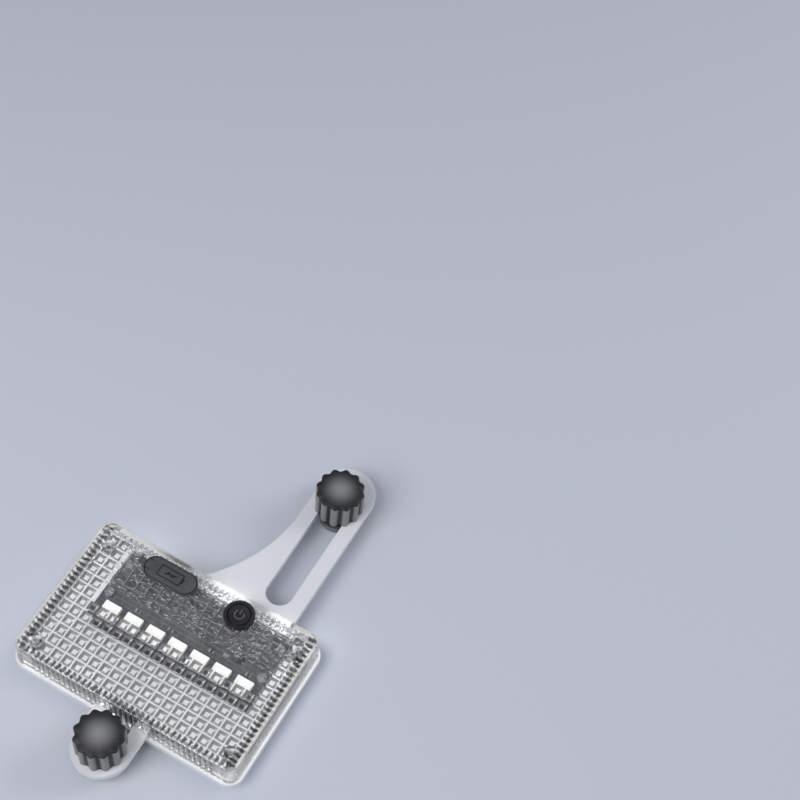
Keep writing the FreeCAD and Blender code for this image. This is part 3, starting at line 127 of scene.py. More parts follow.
def add_node(tree, kind, values=(), **settings):
    """A shader node of a kind, with its settings and what goes into its sockets."""
    node = tree.nodes.new("ShaderNode" + kind)
    for name, value in settings.items():
        setattr(node, name, value)
    for name, value in dict(values).items():
        feed(tree, value, node.inputs[name])
    return node


def reckon(tree, operation, *values):
    """What a Math node makes of sockets and plain numbers."""
    node = add_node(tree, "Math", enumerate(values), operation=operation)
    return node.outputs["Value"]


def new_effect(name, inputs, outputs):
    """An empty shared effect, with its named numbers in and out."""
    effect = bpy.data.node_groups.new(name, "ShaderNodeTree")
    for label, value in inputs.items():
        socket = effect.interface.new_socket(label, in_out="INPUT", socket_type="NodeSocketFloat")
        socket.default_value = value
    for label in outputs:
        effect.interface.new_socket(label, in_out="OUTPUT", socket_type="NodeSocketFloat")
    given = effect.nodes.new("NodeGroupInput")
    result = effect.nodes.new("NodeGroupOutput")
    return effect, given, result


def make_moulded_skin():
    """Shared effect: the grain that a mould leaves, and slow patches over the surface."""
    effect, given, result = new_effect(
        "moulded_skin", {"Grain": 3000.0, "Patches": 120.0}, ("Height", "Patch")
    )
    spot = add_node(effect, "TexCoord").outputs["Object"]
    grain = add_node(
        effect, "TexNoise", {"Vector": spot, "Scale": given.outputs["Grain"], "Detail": 2}
    )
    patches = add_node(
        effect, "TexNoise", {"Vector": spot, "Scale": given.outputs["Patches"], "Detail": 3}
    )
    spread = add_node(
        effect, "MapRange", {"Value": patches.outputs["Fac"], "From Min": 0.3, "From Max": 0.7}
    )
    feed(effect, grain.outputs["Fac"], result.inputs["Height"])
    feed(effect, spread.outputs["Result"], result.inputs["Patch"])
    return effect


moulded_skin = make_moulded_skin()


def make_steep_mask():
    """Shared effect: a mask of the faces whose lean from the level lies between two cosines,
    up to a height."""
    effect, given, result = new_effect(
        "steep_mask", {"Low": 0.0, "High": 0.5, "Top": 1.0}, ("Mask",)
    )
    place = add_node(effect, "TexCoord")
    facing = add_node(effect, "SeparateXYZ", {"Vector": place.outputs["Normal"]})
    spot = add_node(effect, "SeparateXYZ", {"Vector": place.outputs["Object"]})
    lean = reckon(effect, "ABSOLUTE", facing.outputs["Z"])
    above = reckon(effect, "GREATER_THAN", lean, given.outputs["Low"])
    below = reckon(effect, "LESS_THAN", lean, given.outputs["High"])
    under = reckon(effect, "LESS_THAN", spot.outputs["Z"], given.outputs["Top"])
    both = reckon(effect, "MULTIPLY", above, below)
    feed(effect, reckon(effect, "MULTIPLY", both, under), result.inputs["Mask"])
    return effect


steep_mask = make_steep_mask()


def shader_of(finish):
    """The one shader of a finish."""
    return finish.node_tree.nodes["Principled BSDF"]


def fed_by(finish, label):
    """What feeds one socket of a finish's shader so far."""
    return shader_of(finish).inputs[label].links[0].from_socket


def feed_shader(finish, label, value):
    """Feeds one socket of a finish's shader."""
    feed(finish.node_tree, value, shader_of(finish).inputs[label])


def new_skin(name, effect, values, share, tones, roughness, metallic, depth):
    """A finish whose colour and gloss change between two values with a share that an effect
    gives, over that effect's relief. The depth of the relief is in millimetres."""
    finish = bpy.data.materials.new(name)
    finish.use_nodes = True
    tree = finish.node_tree
    skin = add_node(tree, "Group", values, node_tree=effect)
    share = skin.outputs[share]
    dark, light = ((*tone, 1) for tone in tones)
    colour = add_node(tree, "Mix", {"Factor": share, "A": dark, "B": light}, data_type="RGBA")
    gloss = add_node(
        tree, "MapRange", {"Value": share, "To Min": roughness[0], "To Max": roughness[1]}
    )
    bump = add_node(
        tree, "Bump", {"Strength": 1, "Distance": depth * MM, "Height": skin.outputs["Height"]}
    )
    feed_shader(finish, "Metallic", metallic)
    feed_shader(finish, "Base Color", colour.outputs["Result"])
    feed_shader(finish, "Roughness", gloss.outputs["Result"])
    feed_shader(finish, "Normal", bump.outputs["Normal"])
    return finish


def new_finish(name, dark, light, roughness, grain=3000, depth=0.01, patches=120, metallic=0.0):
    """A moulded, foamed or plated finish: slow patches over a fine grain."""
    values = {"Grain": grain, "Patches": patches}
    return new_skin(
        name, moulded_skin, values, "Patch", (dark, light), roughness, metallic, depth
    )


def make_clear(finish, weight):
    """Lets light through a finish, and bends it as polycarbonate does."""
    feed_shader(finish, "Transmission Weight", weight)
    feed_shader(finish, "IOR", 1.49)


def let_lamps_through(finish, share, tint):
    """Lamp light reaches what lies under a clear moulding."""
    tree = finish.node_tree
    clear = add_node(tree, "BsdfTransparent", {"Color": (*tint, 1)})
    path = add_node(tree, "LightPath")
    part = reckon(tree, "MULTIPLY", path.outputs["Is Shadow Ray"], share)
    shader = shader_of(finish)
    shaders = {0: part, 1: shader.outputs["BSDF"], 2: clear.outputs["BSDF"]}
    mix = add_node(tree, "MixShader", shaders)
    feed(tree, mix.outputs["Shader"], tree.nodes["Material Output"].inputs["Surface"])


def pick_steep(tree, low, high, top=1.0):
    """The shared mask of the faces that lean by a certain amount, up to a height."""
    values = {"Low": low, "High": high, "Top": top}
    return add_node(tree, "Group", values, node_tree=steep_mask).outputs["Mask"]


def lay_tint(finish, mask, tint):
    """Lays a tint over a finish's colour where a mask says so."""
    values = {"Factor": mask, "A": fed_by(finish, "Base Color"), "B": (*tint, 1)}
    paint = add_node(finish.node_tree, "Mix", values, data_type="RGBA")
    feed_shader(finish, "Base Color", paint.outputs["Result"])


def tint_steep_faces(finish, low, high, tint, top=1.0, roughness=None):
    """Gives the faces that lean by a certain amount, up to a height, another tint and gloss."""
    tree = finish.node_tree
    steep = pick_steep(tree, low, high, top)
    lay_tint(finish, steep, tint)
    if roughness:
        values = {"Factor": steep, "A": fed_by(finish, "Roughness"), "B": roughness}
        matt = add_node(tree, "Mix", values, data_type="FLOAT")
        feed_shader(finish, "Roughness", matt.outputs["Result"])


def finish_node(node, finish):
    """Gives a CAD node its finish."""
    mesh = nodes[node].data
    mesh.materials.clear()
    mesh.materials.append(finish)


tray_clear = new_finish(
    "tray_clear", (0.88, 0.9, 0.92), (0.95, 0.96, 0.97), (0.12, 0.22), grain=900, depth=0.004
)
make_clear(tray_clear, 0.2)
let_lamps_through(tray_clear, 0.75, (0.92, 0.93, 0.95))
finish_node("back_cover", tray_clear)

# The pouch cell: a flat lithium cell in silver laminated foil, with a dark tape folded over
# each end. It sits on a dark foam pad and gives its current through two sleeved wires.
foil = new_finish(
    "cell_foil", (0.5, 0.51, 0.53), (0.72, 0.73, 0.75), (0.24, 0.42), grain=500, depth=0.05,
    patches=300, metallic=0.9,
)


def add_band(finish, axis, centre, half, colour):
    """Paints what lies beyond a distance from a centre, along one axis, another colour."""
    tree = finish.node_tree
    place = add_node(tree, "TexCoord")
    spot = add_node(tree, "SeparateXYZ", {"Vector": place.outputs["Object"]})
    away = reckon(tree, "SUBTRACT", spot.outputs[axis], centre)
    beyond = reckon(tree, "GREATER_THAN", reckon(tree, "ABSOLUTE", away), half)
    lay_tint(finish, beyond, colour)
    return beyond


TAPE_WIDTH = 4 * MM
cell_low, cell_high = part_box("battery")
cell_middle = (cell_low[0] + cell_high[0]) / 2
tape_start = (cell_high[0] - cell_low[0]) / 2 - TAPE_WIDTH
add_band(foil, "X", cell_middle, tape_start, (0.06, 0.06, 0.065))
finish_node("battery", foil)

pad_foam = new_finish(
    "pad_foam", (0.02, 0.02, 0.022), (0.05, 0.05, 0.052), (0.85, 0.95), grain=2500, depth=0.08
)
finish_node("battery_pad", pad_foam)

sleeve = new_finish(
    "lead_sleeve", (0.35, 0.02, 0.015), (0.45, 0.03, 0.02), (0.35, 0.5), grain=2000, depth=0.01
)
lead_low, lead_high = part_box("battery_leads")
add_band(sleeve, "X", lead_high[0], (lead_high[0] - lead_low[0]) / 2, (0.015, 0.015, 0.017))
finish_node("battery_leads", sleeve)

# The circuit board: grey solder mask over copper on glass fibre, with fine tracks and plated
# holes that show as a faint pattern. It carries the LEDs, the socket and the switch on top
# and the chips below.
board_mask = new_finish(
    "board_mask", (0.045, 0.047, 0.049), (0.08, 0.082, 0.085), (0.3, 0.45), grain=4000, depth=0.004,
    patches=200,
)


def add_relief(finish, height, depth, strength=1.0):
    """Adds a relief to a finish, over the one that it has."""
    values = {"Strength": strength, "Distance": depth, "Height": height}
    relief = add_node(finish.node_tree, "Bump", values)
    feed(finish.node_tree, fed_by(finish, "Normal"), relief.inputs["Normal"])
    feed_shader(finish, "Normal", relief.outputs["Normal"])


def add_tracks(finish, lighter):
    """Copper tracks and plated holes under the mask, as a lighter pattern that stands up."""
    tree = finish.node_tree
    spot = add_node(tree, "TexCoord").outputs["Object"]
    tracks = add_node(
        tree, "TexBrick",
        {"Vector": spot, "Scale": 300, "Mortar Size": 0.035, "Brick Width": 1.3, "Row Height": 0.42},
        offset=0.35, squash=0.6, squash_frequency=3,
    )
    holes = add_node(tree, "TexVoronoi", {"Vector": spot, "Scale": 420}, feature="F1")
    ring = reckon(tree, "LESS_THAN", holes.outputs["Distance"], 0.13)
    either = reckon(tree, "MAXIMUM", tracks.outputs["Fac"], ring)
    lay_tint(finish, either, lighter)
    add_relief(finish, either, 0.03 * MM, strength=0.6)


add_tracks(board_mask, (0.13, 0.133, 0.135))
finish_node("circuit_board", board_mask)

epoxy = new_finish(
    "chip_epoxy", (0.015, 0.015, 0.016), (0.03, 0.03, 0.032), (0.5, 0.65), grain=5000, depth=0.006
)
tinned = new_finish(
    "tinned_metal", (0.5, 0.5, 0.5), (0.72, 0.72, 0.7), (0.22, 0.4), grain=2500, depth=0.008,
    patches=800, metallic=1.0,
)
PIN_REACH = 0.8 * MM
for chip in ("controller_chip", "charge_chip"):
    low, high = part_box(chip)
    pins = new_finish(
        f"{chip}_case", (0.015, 0.015, 0.016), (0.03, 0.03, 0.032), (0.5, 0.65), grain=5000,
        depth=0.006,
    )
    middle = (low[1] + high[1]) / 2
    pins_start = (high[1] - low[1]) / 2 - PIN_REACH
    beyond = add_band(pins, "Y", middle, pins_start, (0.7, 0.7, 0.68))
    feed_shader(pins, "Metallic", beyond)
    finish_node(chip, pins)
finish_node("motion_sensor", tinned)

# Small parts on the board: chip resistors and capacitors with tinned ends, two three-legged
# transistors and one moulded capacitor, all soldered on the upper side under the window.
board_low, board_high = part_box("circuit_board")
BOARD_TOP = board_high[2]
RESISTOR_SPOTS = [
    (-14.2, 11.4, 0), (-8.8, 8.0, 90), (-5.3, 8.0, 90), (22.4, 11.6, 0), (22.4, 9.9, 0),
    (16.5, 10.4, 90), (-13.1, 4.9, 0), (10.4, 5.3, 0), (22.6, 4.6, 0), (2.0, 12.2, 0),
    (2.0, 10.5, 0), (-18.0, 8.8, 90), (-19.6, 8.8, 90), (6.1, 7.6, 0), (-2.4, 4.8, 0),
]
CAPACITOR_SPOTS = [
    (-16.4, 12.9, 90), (19.6, 13.2, 0), (-11.4, 8.1, 90), (14.6, 6.2, 0), (-20.4, 12.6, 0),
]
TALL_CAPACITOR_SPOTS = [(3.9, 15.4, 0)]
TRANSISTOR_SPOTS = [(-1.2, 14.6, 0), (18.6, 7.6, 90)]
RESISTOR_SIZE = (1.6 * MM, 0.8 * MM, 0.45 * MM)
CAPACITOR_SIZE = (1.6 * MM, 0.8 * MM, 0.8 * MM)
TALL_CAPACITOR_SIZE = (3.2 * MM, 1.6 * MM, 1.5 * MM)
RESISTOR_CAP = 0.3 * MM
CAPACITOR_CAP = 0.35 * MM
TALL_CAPACITOR_CAP = 0.25 * MM
TRANSISTOR_SIZE = (2.9 * MM, 1.3 * MM, 0.95 * MM)
TRANSISTOR_MIDDLE = 0.6 * MM
LEG_SIZE = (0.42 * MM, 0.3 * MM, 0.14 * MM)
LEG_SPOTS = ((-0.95, -1), (0.95, -1), (0, 1))
LEG_START = (0.7 * MM, 0.5 * MM)
LEG_BEND = (0.2 * MM, -0.38 * MM)
LEG_FOOT = 0.3 * MM


def open_piece(name):
    """Names the primitive that was just added and opens it for shaping."""
    piece = bpy.context.object
    piece.name = name
    piece.data.name = name
    bpy.ops.object.transform_apply(location=False, rotation=True, scale=True)
    bpy.ops.object.mode_set(mode="EDIT")
    return piece


def pick(piece, kind, test):
    """Selects the corners, edges or faces of an open piece that pass a test."""
    bpy.ops.mesh.select_mode(type=kind)
    bpy.ops.mesh.select_all(action="DESELECT")
    mesh = bmesh.from_edit_mesh(piece.data)
    for part in {"VERT": mesh.verts, "EDGE": mesh.edges, "FACE": mesh.faces}[kind]:
        if test(part):
            part.select_set(True)
    mesh.select_flush_mode()
    bmesh.update_edit_mesh(piece.data)


def faces_up(face):
    """A test for the level faces that look up."""
    return face.normal.z > 0.9


def paint_picked(piece, index):
    """Gives the picked faces of an open piece one of its finishes."""
    mesh = bmesh.from_edit_mesh(piece.data)
    for face in mesh.faces:
        if face.select:
            face.material_index = index
    bmesh.update_edit_mesh(piece.data)


def settle(piece, spot, angle=35):
    """Closes a piece, sets it down at its place with that place in its mesh, and shades it."""
    bpy.ops.object.mode_set(mode="OBJECT")
    bpy.ops.object.select_all(action="DESELECT")
    piece.select_set(True)
    bpy.context.view_layer.objects.active = piece
    piece.location = spot
    bpy.ops.object.transform_apply(location=True, rotation=True, scale=True)
    bpy.ops.object.shade_smooth_by_angle(angle=math.radians(angle))


def bevel_piece(piece, width, segments=2):
    """Rounds the sharp edges of a closed piece."""
    bpy.context.view_layer.objects.active = piece
    rounding = piece.modifiers.new("rounding", "BEVEL")
    rounding.width = width
    rounding.segments = segments
    rounding.limit_method = "ANGLE"
    rounding.angle_limit = math.radians(40)
    bpy.ops.object.modifier_apply(modifier=rounding.name)


def copy_piece(first, place):
    """A copy of a finished piece with its own mesh, moved or turned in the mesh."""
    copy = first.copy()
    copy.data = first.data.copy()
    copy.data.transform(place)
    scene.collection.objects.link(copy)
    return copy


def join_pieces(pieces, name):
    """Several finished pieces as one."""
    bpy.ops.object.select_all(action="DESELECT")
    for piece in pieces:
        piece.select_set(True)
    bpy.context.view_layer.objects.active = pieces[0]
    if len(pieces) > 1:
        bpy.ops.object.join()
    pieces[0].name = name
    pieces[0].data.name = name
    return pieces[0]


def new_block(name, length, width, height):
    """A block round the origin, open for shaping."""
    bpy.ops.object.select_all(action="DESELECT")
    bpy.ops.mesh.primitive_cube_add(size=1, location=(0, 0, 0))
    block = bpy.context.object
    block.scale = (length, width, height)
    return open_piece(name)


def make_chip_part(name, size, cap, body):
    """A chip part: a body and two tinned end caps that stand a little proud."""
    length, width, height = size
    part = new_block(name, length - 2 * cap, width, height)
    part.data.materials.append(body)
    part.data.materials.append(tinned)
    for side in (-1, 1):
        pick(part, "FACE", lambda face: face.normal.x * side > 0.9)
        bpy.ops.mesh.extrude_region_move(TRANSFORM_OT_translate={"value": (0, 0, 0)})
        bpy.ops.transform.resize(value=(1, 1.06, 1.12))
        bpy.ops.mesh.extrude_region_move(TRANSFORM_OT_translate={"value": (side * cap, 0, 0)})
        edge = (length / 2 - cap) * 0.98
        pick(part, "FACE", lambda face: face.calc_center_median().x * side > edge)
        paint_picked(part, 1)
    settle(part, (0, 0, height / 2))
    bevel_piece(part, 0.05 * MM)
    return part


def lay_out(first, spots, name):
    """Copies a part to each spot on the board, as one piece."""
    copies = []
    for x, y, turn in spots:
        place = Matrix.Translation((x * MM, y * MM, BOARD_TOP)) @ Matrix.Rotation(
            math.radians(turn), 4, "Z"
        )
        copies.append(copy_piece(first, place))
    bpy.data.objects.remove(first)
    row = join_pieces(copies, name)
    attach(row, "light")
    return row


resistor_body = new_finish(
    "resistor_body", (0.02, 0.02, 0.025), (0.05, 0.05, 0.06), (0.25, 0.4), grain=6000, depth=0.004
)
ceramic = new_finish(
    "capacitor_body", (0.24, 0.21, 0.18), (0.34, 0.3, 0.26), (0.35, 0.5), grain=5000, depth=0.004
)
resistor = make_chip_part("resistor", RESISTOR_SIZE, RESISTOR_CAP, resistor_body)
lay_out(resistor, RESISTOR_SPOTS, "board_resistors")
capacitor = make_chip_part("capacitor", CAPACITOR_SIZE, CAPACITOR_CAP, ceramic)
lay_out(capacitor, CAPACITOR_SPOTS, "board_capacitors")
tall_body = new_finish(
    "tall_capacitor_body", (0.05, 0.05, 0.052), (0.08, 0.08, 0.082), (0.4, 0.5), grain=4000,
    depth=0.005,
)
tall = make_chip_part("tall_capacitor", TALL_CAPACITOR_SIZE, TALL_CAPACITOR_CAP, tall_body)
lay_out(tall, TALL_CAPACITOR_SPOTS, "board_tall_capacitor")


def make_transistor():
    """A moulded transistor with three bent legs."""
    body = new_block("transistor", *TRANSISTOR_SIZE)
    body.data.materials.append(epoxy)
    body.data.materials.append(tinned)
    pick(body, "FACE", faces_up)
    bpy.ops.transform.resize(value=(0.94, 0.86, 1))
    settle(body, (0, 0, TRANSISTOR_MIDDLE))
    bevel_piece(body, 0.06 * MM)
    legs = []
    for x, side in LEG_SPOTS:
        leg = new_block("leg", *LEG_SIZE)
        leg.data.materials.append(epoxy)
        leg.data.materials.append(tinned)
        pick(leg, "FACE", lambda face: face.normal.y * side > 0.9)
        bpy.ops.mesh.extrude_region_move(
            TRANSFORM_OT_translate={"value": (0, side * LEG_BEND[0], LEG_BEND[1])}
        )
        bpy.ops.mesh.extrude_region_move(
            TRANSFORM_OT_translate={"value": (0, side * LEG_FOOT, 0)}
        )
        pick(leg, "FACE", lambda face: True)
        paint_picked(leg, 1)
        settle(leg, (x * MM, side * LEG_START[0], LEG_START[1]))
        legs.append(leg)
    return join_pieces([body, *legs], "transistor")


lay_out(make_transistor(), TRANSISTOR_SPOTS, "board_transistors")

# The LEDs: seven white packages soldered in a row, each with a round cup that is filled with
# pale phosphor, and three tinned contacts on two sides.
LED_SIDE = 5.0 * MM
CUP_RINGS = ((0, 2.15), (-0.18, 2.0), (-0.2, 1.6))
CONTACT_SIZE = (0.16 * MM, 0.9 * MM, 0.62 * MM)
CONTACT_PITCH = 1.6 * MM
CONTACT_OUT = 0.06 * MM
PHOSPHOR_RIM = 0.02 * MM
RING_STEPS = 32
led_low, led_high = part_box("leds")
LED_HEIGHT = led_high[2] - led_low[2]
LED_COUNT = 7
LED_PITCH = (led_high[0] - led_low[0] - LED_SIDE) / (LED_COUNT - 1)


def ring_step(corner, steps, repeat, first=0.0):
    """Which step of a repeated stretch of a ring a corner lies on, counted from its middle."""
    angle = math.atan2(corner.co.y, corner.co.x) - first
    span = steps // repeat
    step = round(angle / math.tau * steps) % span
    return min(step, span - step)


def shape_ring(piece, test, steps, repeat, radius_at, first=0.0):
    """Moves the picked ring of corners in or out, like steps together."""
    for step in range(steps // repeat // 2 + 1):
        pick(piece, "VERT", lambda v: test(v) and ring_step(v, steps, repeat, first) == step)
        mesh = bmesh.from_edit_mesh(piece.data)
        now = next(corner.co.xy.length for corner in mesh.verts if corner.select)
        size = radius_at(step) / now
        bpy.ops.transform.resize(value=(size, size, 1), center_override=(0, 0, 0))


def new_drum(name, steps, radius, height):
    """A drum round the upright axis, standing on the ground plane, open for shaping."""
    bpy.ops.object.select_all(action="DESELECT")
    bpy.ops.mesh.primitive_cylinder_add(
        vertices=steps, radius=radius, depth=height, location=(0, 0, 0), end_fill_type="NGON"
    )
    drum = open_piece(name)
    bpy.ops.mesh.select_all(action="SELECT")
    bpy.ops.transform.translate(value=(0, 0, height / 2))
    return drum


def grow_cap(piece, height, climb, radius_at, steps, repeat, first=0.0, upper=True):
    """Extrudes the end face of a drum by a climb and gives its new ring a size."""
    sign = 1 if upper else -1
    pick(
        piece, "FACE",
        lambda f: f.normal.z * sign > 0.9 and abs(f.calc_center_median().z - height) < 1e-6
        and len(f.verts) == steps,
    )
    bpy.ops.mesh.extrude_region_move(TRANSFORM_OT_translate={"value": (0, 0, climb)})
    mesh = bmesh.from_edit_mesh(piece.data)
    ring = {corner.index for corner in mesh.verts if corner.select}
    shape_ring(piece, lambda v: v.index in ring, steps, repeat, radius_at, first)
    return height + climb


led_white = new_finish(
    "led_case", (0.86, 0.86, 0.84), (0.93, 0.93, 0.92), (0.3, 0.42), grain=3500, depth=0.006
)
phosphor = new_finish(
    "led_phosphor", (0.89, 0.885, 0.84), (0.95, 0.945, 0.92), (0.12, 0.25), grain=1800, depth=0.01,
    patches=900,
)
feed_shader(phosphor, "Coat Weight", 0.6)


def square_step(step):
    """Distance of a square package's outline from its middle, from a side's middle on."""
    return LED_SIDE / 2 / math.cos(step * math.tau / RING_STEPS)


def make_led():
    """One LED package with its cup and contacts, standing on the ground plane."""
    led = new_drum("led", RING_STEPS, LED_SIDE / 2, LED_HEIGHT)
    led.data.materials.append(led_white)
    led.data.materials.append(phosphor)
    led.data.materials.append(tinned)
    shape_ring(led, lambda v: True, RING_STEPS, 4, square_step)
    height = LED_HEIGHT
    for climb, radius in CUP_RINGS:
        height = grow_cap(led, height, climb * MM, lambda step: radius * MM, RING_STEPS, 4)
    pick(led, "FACE", lambda face: faces_up(face) and len(face.verts) == RING_STEPS)
    bpy.ops.mesh.inset(thickness=PHOSPHOR_RIM)
    paint_picked(led, 1)
    settle(led, (0, 0, 0), angle=30)
    contacts = []
    for side in (-1, 1):
        for spot in (-1, 0, 1):
            contact = new_block("contact", *CONTACT_SIZE)
            for finish in (led_white, phosphor, tinned):
                contact.data.materials.append(finish)
            pick(contact, "FACE", lambda face: face.normal.z < -0.9)
            bpy.ops.transform.resize(value=(2.2, 1, 1))
            pick(contact, "FACE", lambda face: True)
            paint_picked(contact, 2)
            x = side * (LED_SIDE / 2 + CONTACT_OUT)
            settle(contact, (x, spot * CONTACT_PITCH, CONTACT_SIZE[2] / 2))
            contacts.append(contact)
    return join_pieces([led, *contacts], "led")


first_led = make_led()
led_row = []
for number in range(LED_COUNT):
    x = led_low[0] + LED_SIDE / 2 + number * LED_PITCH
    spot = Matrix.Translation((x, (led_low[1] + led_high[1]) / 2, led_low[2]))
    led_row.append(copy_piece(first_led, spot))
bpy.data.objects.remove(first_led)
led_row = join_pieces(led_row, "led_row")
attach(led_row, "light")
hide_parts("leds")

# The reflector panel and the dark bar: a bright white moulding that lies beside the board and throws
# light back up through the prism cells, and a black strip along its edge, which stands in for the
# shade in the gap between the board and the panel.
reflector_white = new_finish(
    "reflector_white", (0.72, 0.73, 0.75), (0.82, 0.83, 0.85), (0.16, 0.3), grain=1500,
    depth=0.006, patches=90,
)
finish_node("reflector_panel", reflector_white)
# Painted shade: a black strip stands where the gap between the board and the panel lies in shade.
gap_shade_black = new_finish(
    "gap_shade_black", (0.012, 0.012, 0.014), (0.03, 0.03, 0.033), (0.8, 0.95), grain=2200, depth=0.12
)
finish_node("light_baffle", gap_shade_black)

# The charging socket and the switch: a folded and plated steel shell round a black insulator
# with its tongue, and a square tact switch with a black stem, both soldered to the board.


def make_drawn_metal():
    """Shared effect: the fine lines that rolling or turning leaves in a metal, along X."""
    effect, given, result = new_effect("drawn_metal", {"Lines": 2500.0}, ("Height", "Streak"))
    spot = add_node(effect, "TexCoord").outputs["Object"]
    stretch = add_node(effect, "Mapping", {"Vector": spot, "Scale": (0.05, 1, 1)})
    values = {"Vector": stretch.outputs["Vector"], "Scale": given.outputs["Lines"], "Detail": 4}
    lines = add_node(effect, "TexNoise", values)
    streak = add_node(
        effect, "MapRange", {"Value": lines.outputs["Fac"], "From Min": 0.35, "From Max": 0.65}
    )
    feed(effect, lines.outputs["Fac"], result.inputs["Height"])
    feed(effect, streak.outputs["Result"], result.inputs["Streak"])
    return effect


drawn_metal = make_drawn_metal()


def new_metal(name, dark, light, roughness, lines=2500, depth=0.006):
    """A metal whose colour and gloss follow fine lines."""
    values = {"Lines": lines}
    return new_skin(name, drawn_metal, values, "Streak", (dark, light), roughness, 1.0, depth)


socket_sheet = new_metal(
    "socket_sheet", (0.5, 0.51, 0.53), (0.68, 0.69, 0.71), (0.22, 0.38)
)
finish_node("usb_shell", socket_sheet)
insulator = new_finish(
    "insulator_black", (0.015, 0.015, 0.017), (0.035, 0.035, 0.038), (0.4, 0.55), grain=3500,
    depth=0.008,
)
finish_node("usb_tongue", insulator)
switch_case = new_finish(
    "switch_case", (0.03, 0.03, 0.033), (0.06, 0.06, 0.065), (0.4, 0.6), grain=3000, depth=0.01
)
finish_node("tact_switch", switch_case)
finish_node("switch_stem", insulator)

# The seal: a self-adhesive strip of pale foam between the cover's foot and the flange. Its
# open pores show on the cut side.
seal_foam = new_finish(
    "seal_foam", (0.85, 0.85, 0.835), (0.93, 0.93, 0.915), (0.8, 0.92), grain=2600, depth=0.1,
    patches=500,
)
finish_node("seal_strips", seal_foam)

# The clear cover: polished polycarbonate, moulded in one piece with its prism cells and ribs.
# Only the flow of the plastic shows on it, as slow ripples. The slopes of the cells are matt and
# tinted dark as painted shade, dark stripes of painted shade lie under the face's border, and the
# window over the board is stippled from within.
cover_clear = new_finish(
    "cover_clear", (0.97, 0.975, 0.98), (1.0, 1.0, 1.0), (0.015, 0.05), grain=260, depth=0.004,
    patches=60,
)
make_clear(cover_clear, 1.0)
let_lamps_through(cover_clear, 1.0, (1.0, 1.0, 1.0))
LEVEL = 0.9


def add_stipple(finish, start, top, cell, depth):
    """Small irregular facets on the inner side of the face, beyond a line across it."""
    tree = finish.node_tree
    place = add_node(tree, "TexCoord").outputs["Object"]
    spot = add_node(tree, "SeparateXYZ", {"Vector": place})
    beyond = reckon(tree, "GREATER_THAN", spot.outputs["Y"], start)
    under = reckon(tree, "LESS_THAN", spot.outputs["Z"], top)
    inside = reckon(tree, "MULTIPLY", beyond, under)
    values = {"Vector": place, "Scale": 1 / cell}
    facets = add_node(tree, "TexVoronoi", values, feature="F1", distance="CHEBYCHEV")
    level = pick_steep(tree, LEVEL, 2)
    spread = reckon(tree, "MULTIPLY", inside, level)
    add_relief(finish, reckon(tree, "MULTIPLY", spread, facets.outputs["Distance"]), depth)


FACE_THICK = 1.65 * MM
WINDOW_START = 6.2 * MM
FACET_SIZE = 1.3 * MM
FACET_DEPTH = 0.4 * MM
SLOPE_LOW = 0.55
SLOPE_HIGH = 0.8
WALL_LEAN = 0.35
face_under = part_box("lens_cover")[1][2] - FACE_THICK
add_stipple(cover_clear, WINDOW_START, face_under, FACET_SIZE, FACET_DEPTH)
# Painted shade: the slopes of the prism cells, under the face, are tinted nearly black and made matt.
tint_steep_faces(
    cover_clear, SLOPE_LOW, SLOPE_HIGH, (0.035, 0.035, 0.036), top=face_under + 0.1 * MM,
    roughness=0.42,
)
tint_steep_faces(cover_clear, -1, WALL_LEAN, (1, 1, 1), roughness=0.1)


def paint_border_shade(finish, ends, front, pitch, tint, top):
    """Paints dark stripes of shade under the face's border, in front and at both ends, where light is
    lost between the ribs. Each band is given by its middle and its reach to each side."""
    tree = finish.node_tree
    place = add_node(tree, "TexCoord").outputs["Object"]
    spot = add_node(tree, "SeparateXYZ", {"Vector": place})
    stripes = []
    sides = (("X", "ABSOLUTE", ends, "Y"), ("Y", "MULTIPLY", front, "X"))
    for axis, change, band, along in sides:
        away = reckon(tree, change, spot.outputs[axis], -1)
        inside = reckon(tree, "COMPARE", away, *band)
        ribs = add_node(
            tree, "TexWave",
            {
                "Vector": place, "Scale": math.pi / 10 / pitch, "Distortion": 2.4, "Detail": 2,
                "Detail Scale": 3,
            },
            wave_type="BANDS", bands_direction=along,
        )
        between = add_node(
            tree, "MapRange", {"Value": ribs.outputs["Fac"], "From Min": 0.3, "From Max": 0.7}
        )
        stripes.append(reckon(tree, "MULTIPLY", inside, between.outputs["Result"]))
    either = reckon(tree, "MAXIMUM", *stripes)
    level = pick_steep(tree, LEVEL, 2, top)
    lay_tint(finish, reckon(tree, "MULTIPLY", either, level), tint)


RIB_PITCH = 1.66 * MM
END_BAND = (32.95 * MM, 1.2 * MM)
FRONT_BAND = (21.4 * MM, 1.25 * MM)
face_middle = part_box("lens_cover")[1][2] - 0.8 * MM
# Painted shade: dark stripes under the face's border, between the ribs.
paint_border_shade(
    cover_clear, END_BAND, FRONT_BAND, RIB_PITCH, (0.11, 0.11, 0.113), face_middle
)
finish_node("lens_cover", cover_clear)

# Screws: four that hold the cover to the tray from behind and four that hold the board to its
# bosses, all of zinc-plated steel with a cross in the head.
screw_zinc = new_metal("screw_zinc", (0.4, 0.41, 0.43), (0.6, 0.61, 0.63), (0.25, 0.45))
finish_node("case_screws", screw_zinc)
finish_node("board_screws", screw_zinc)

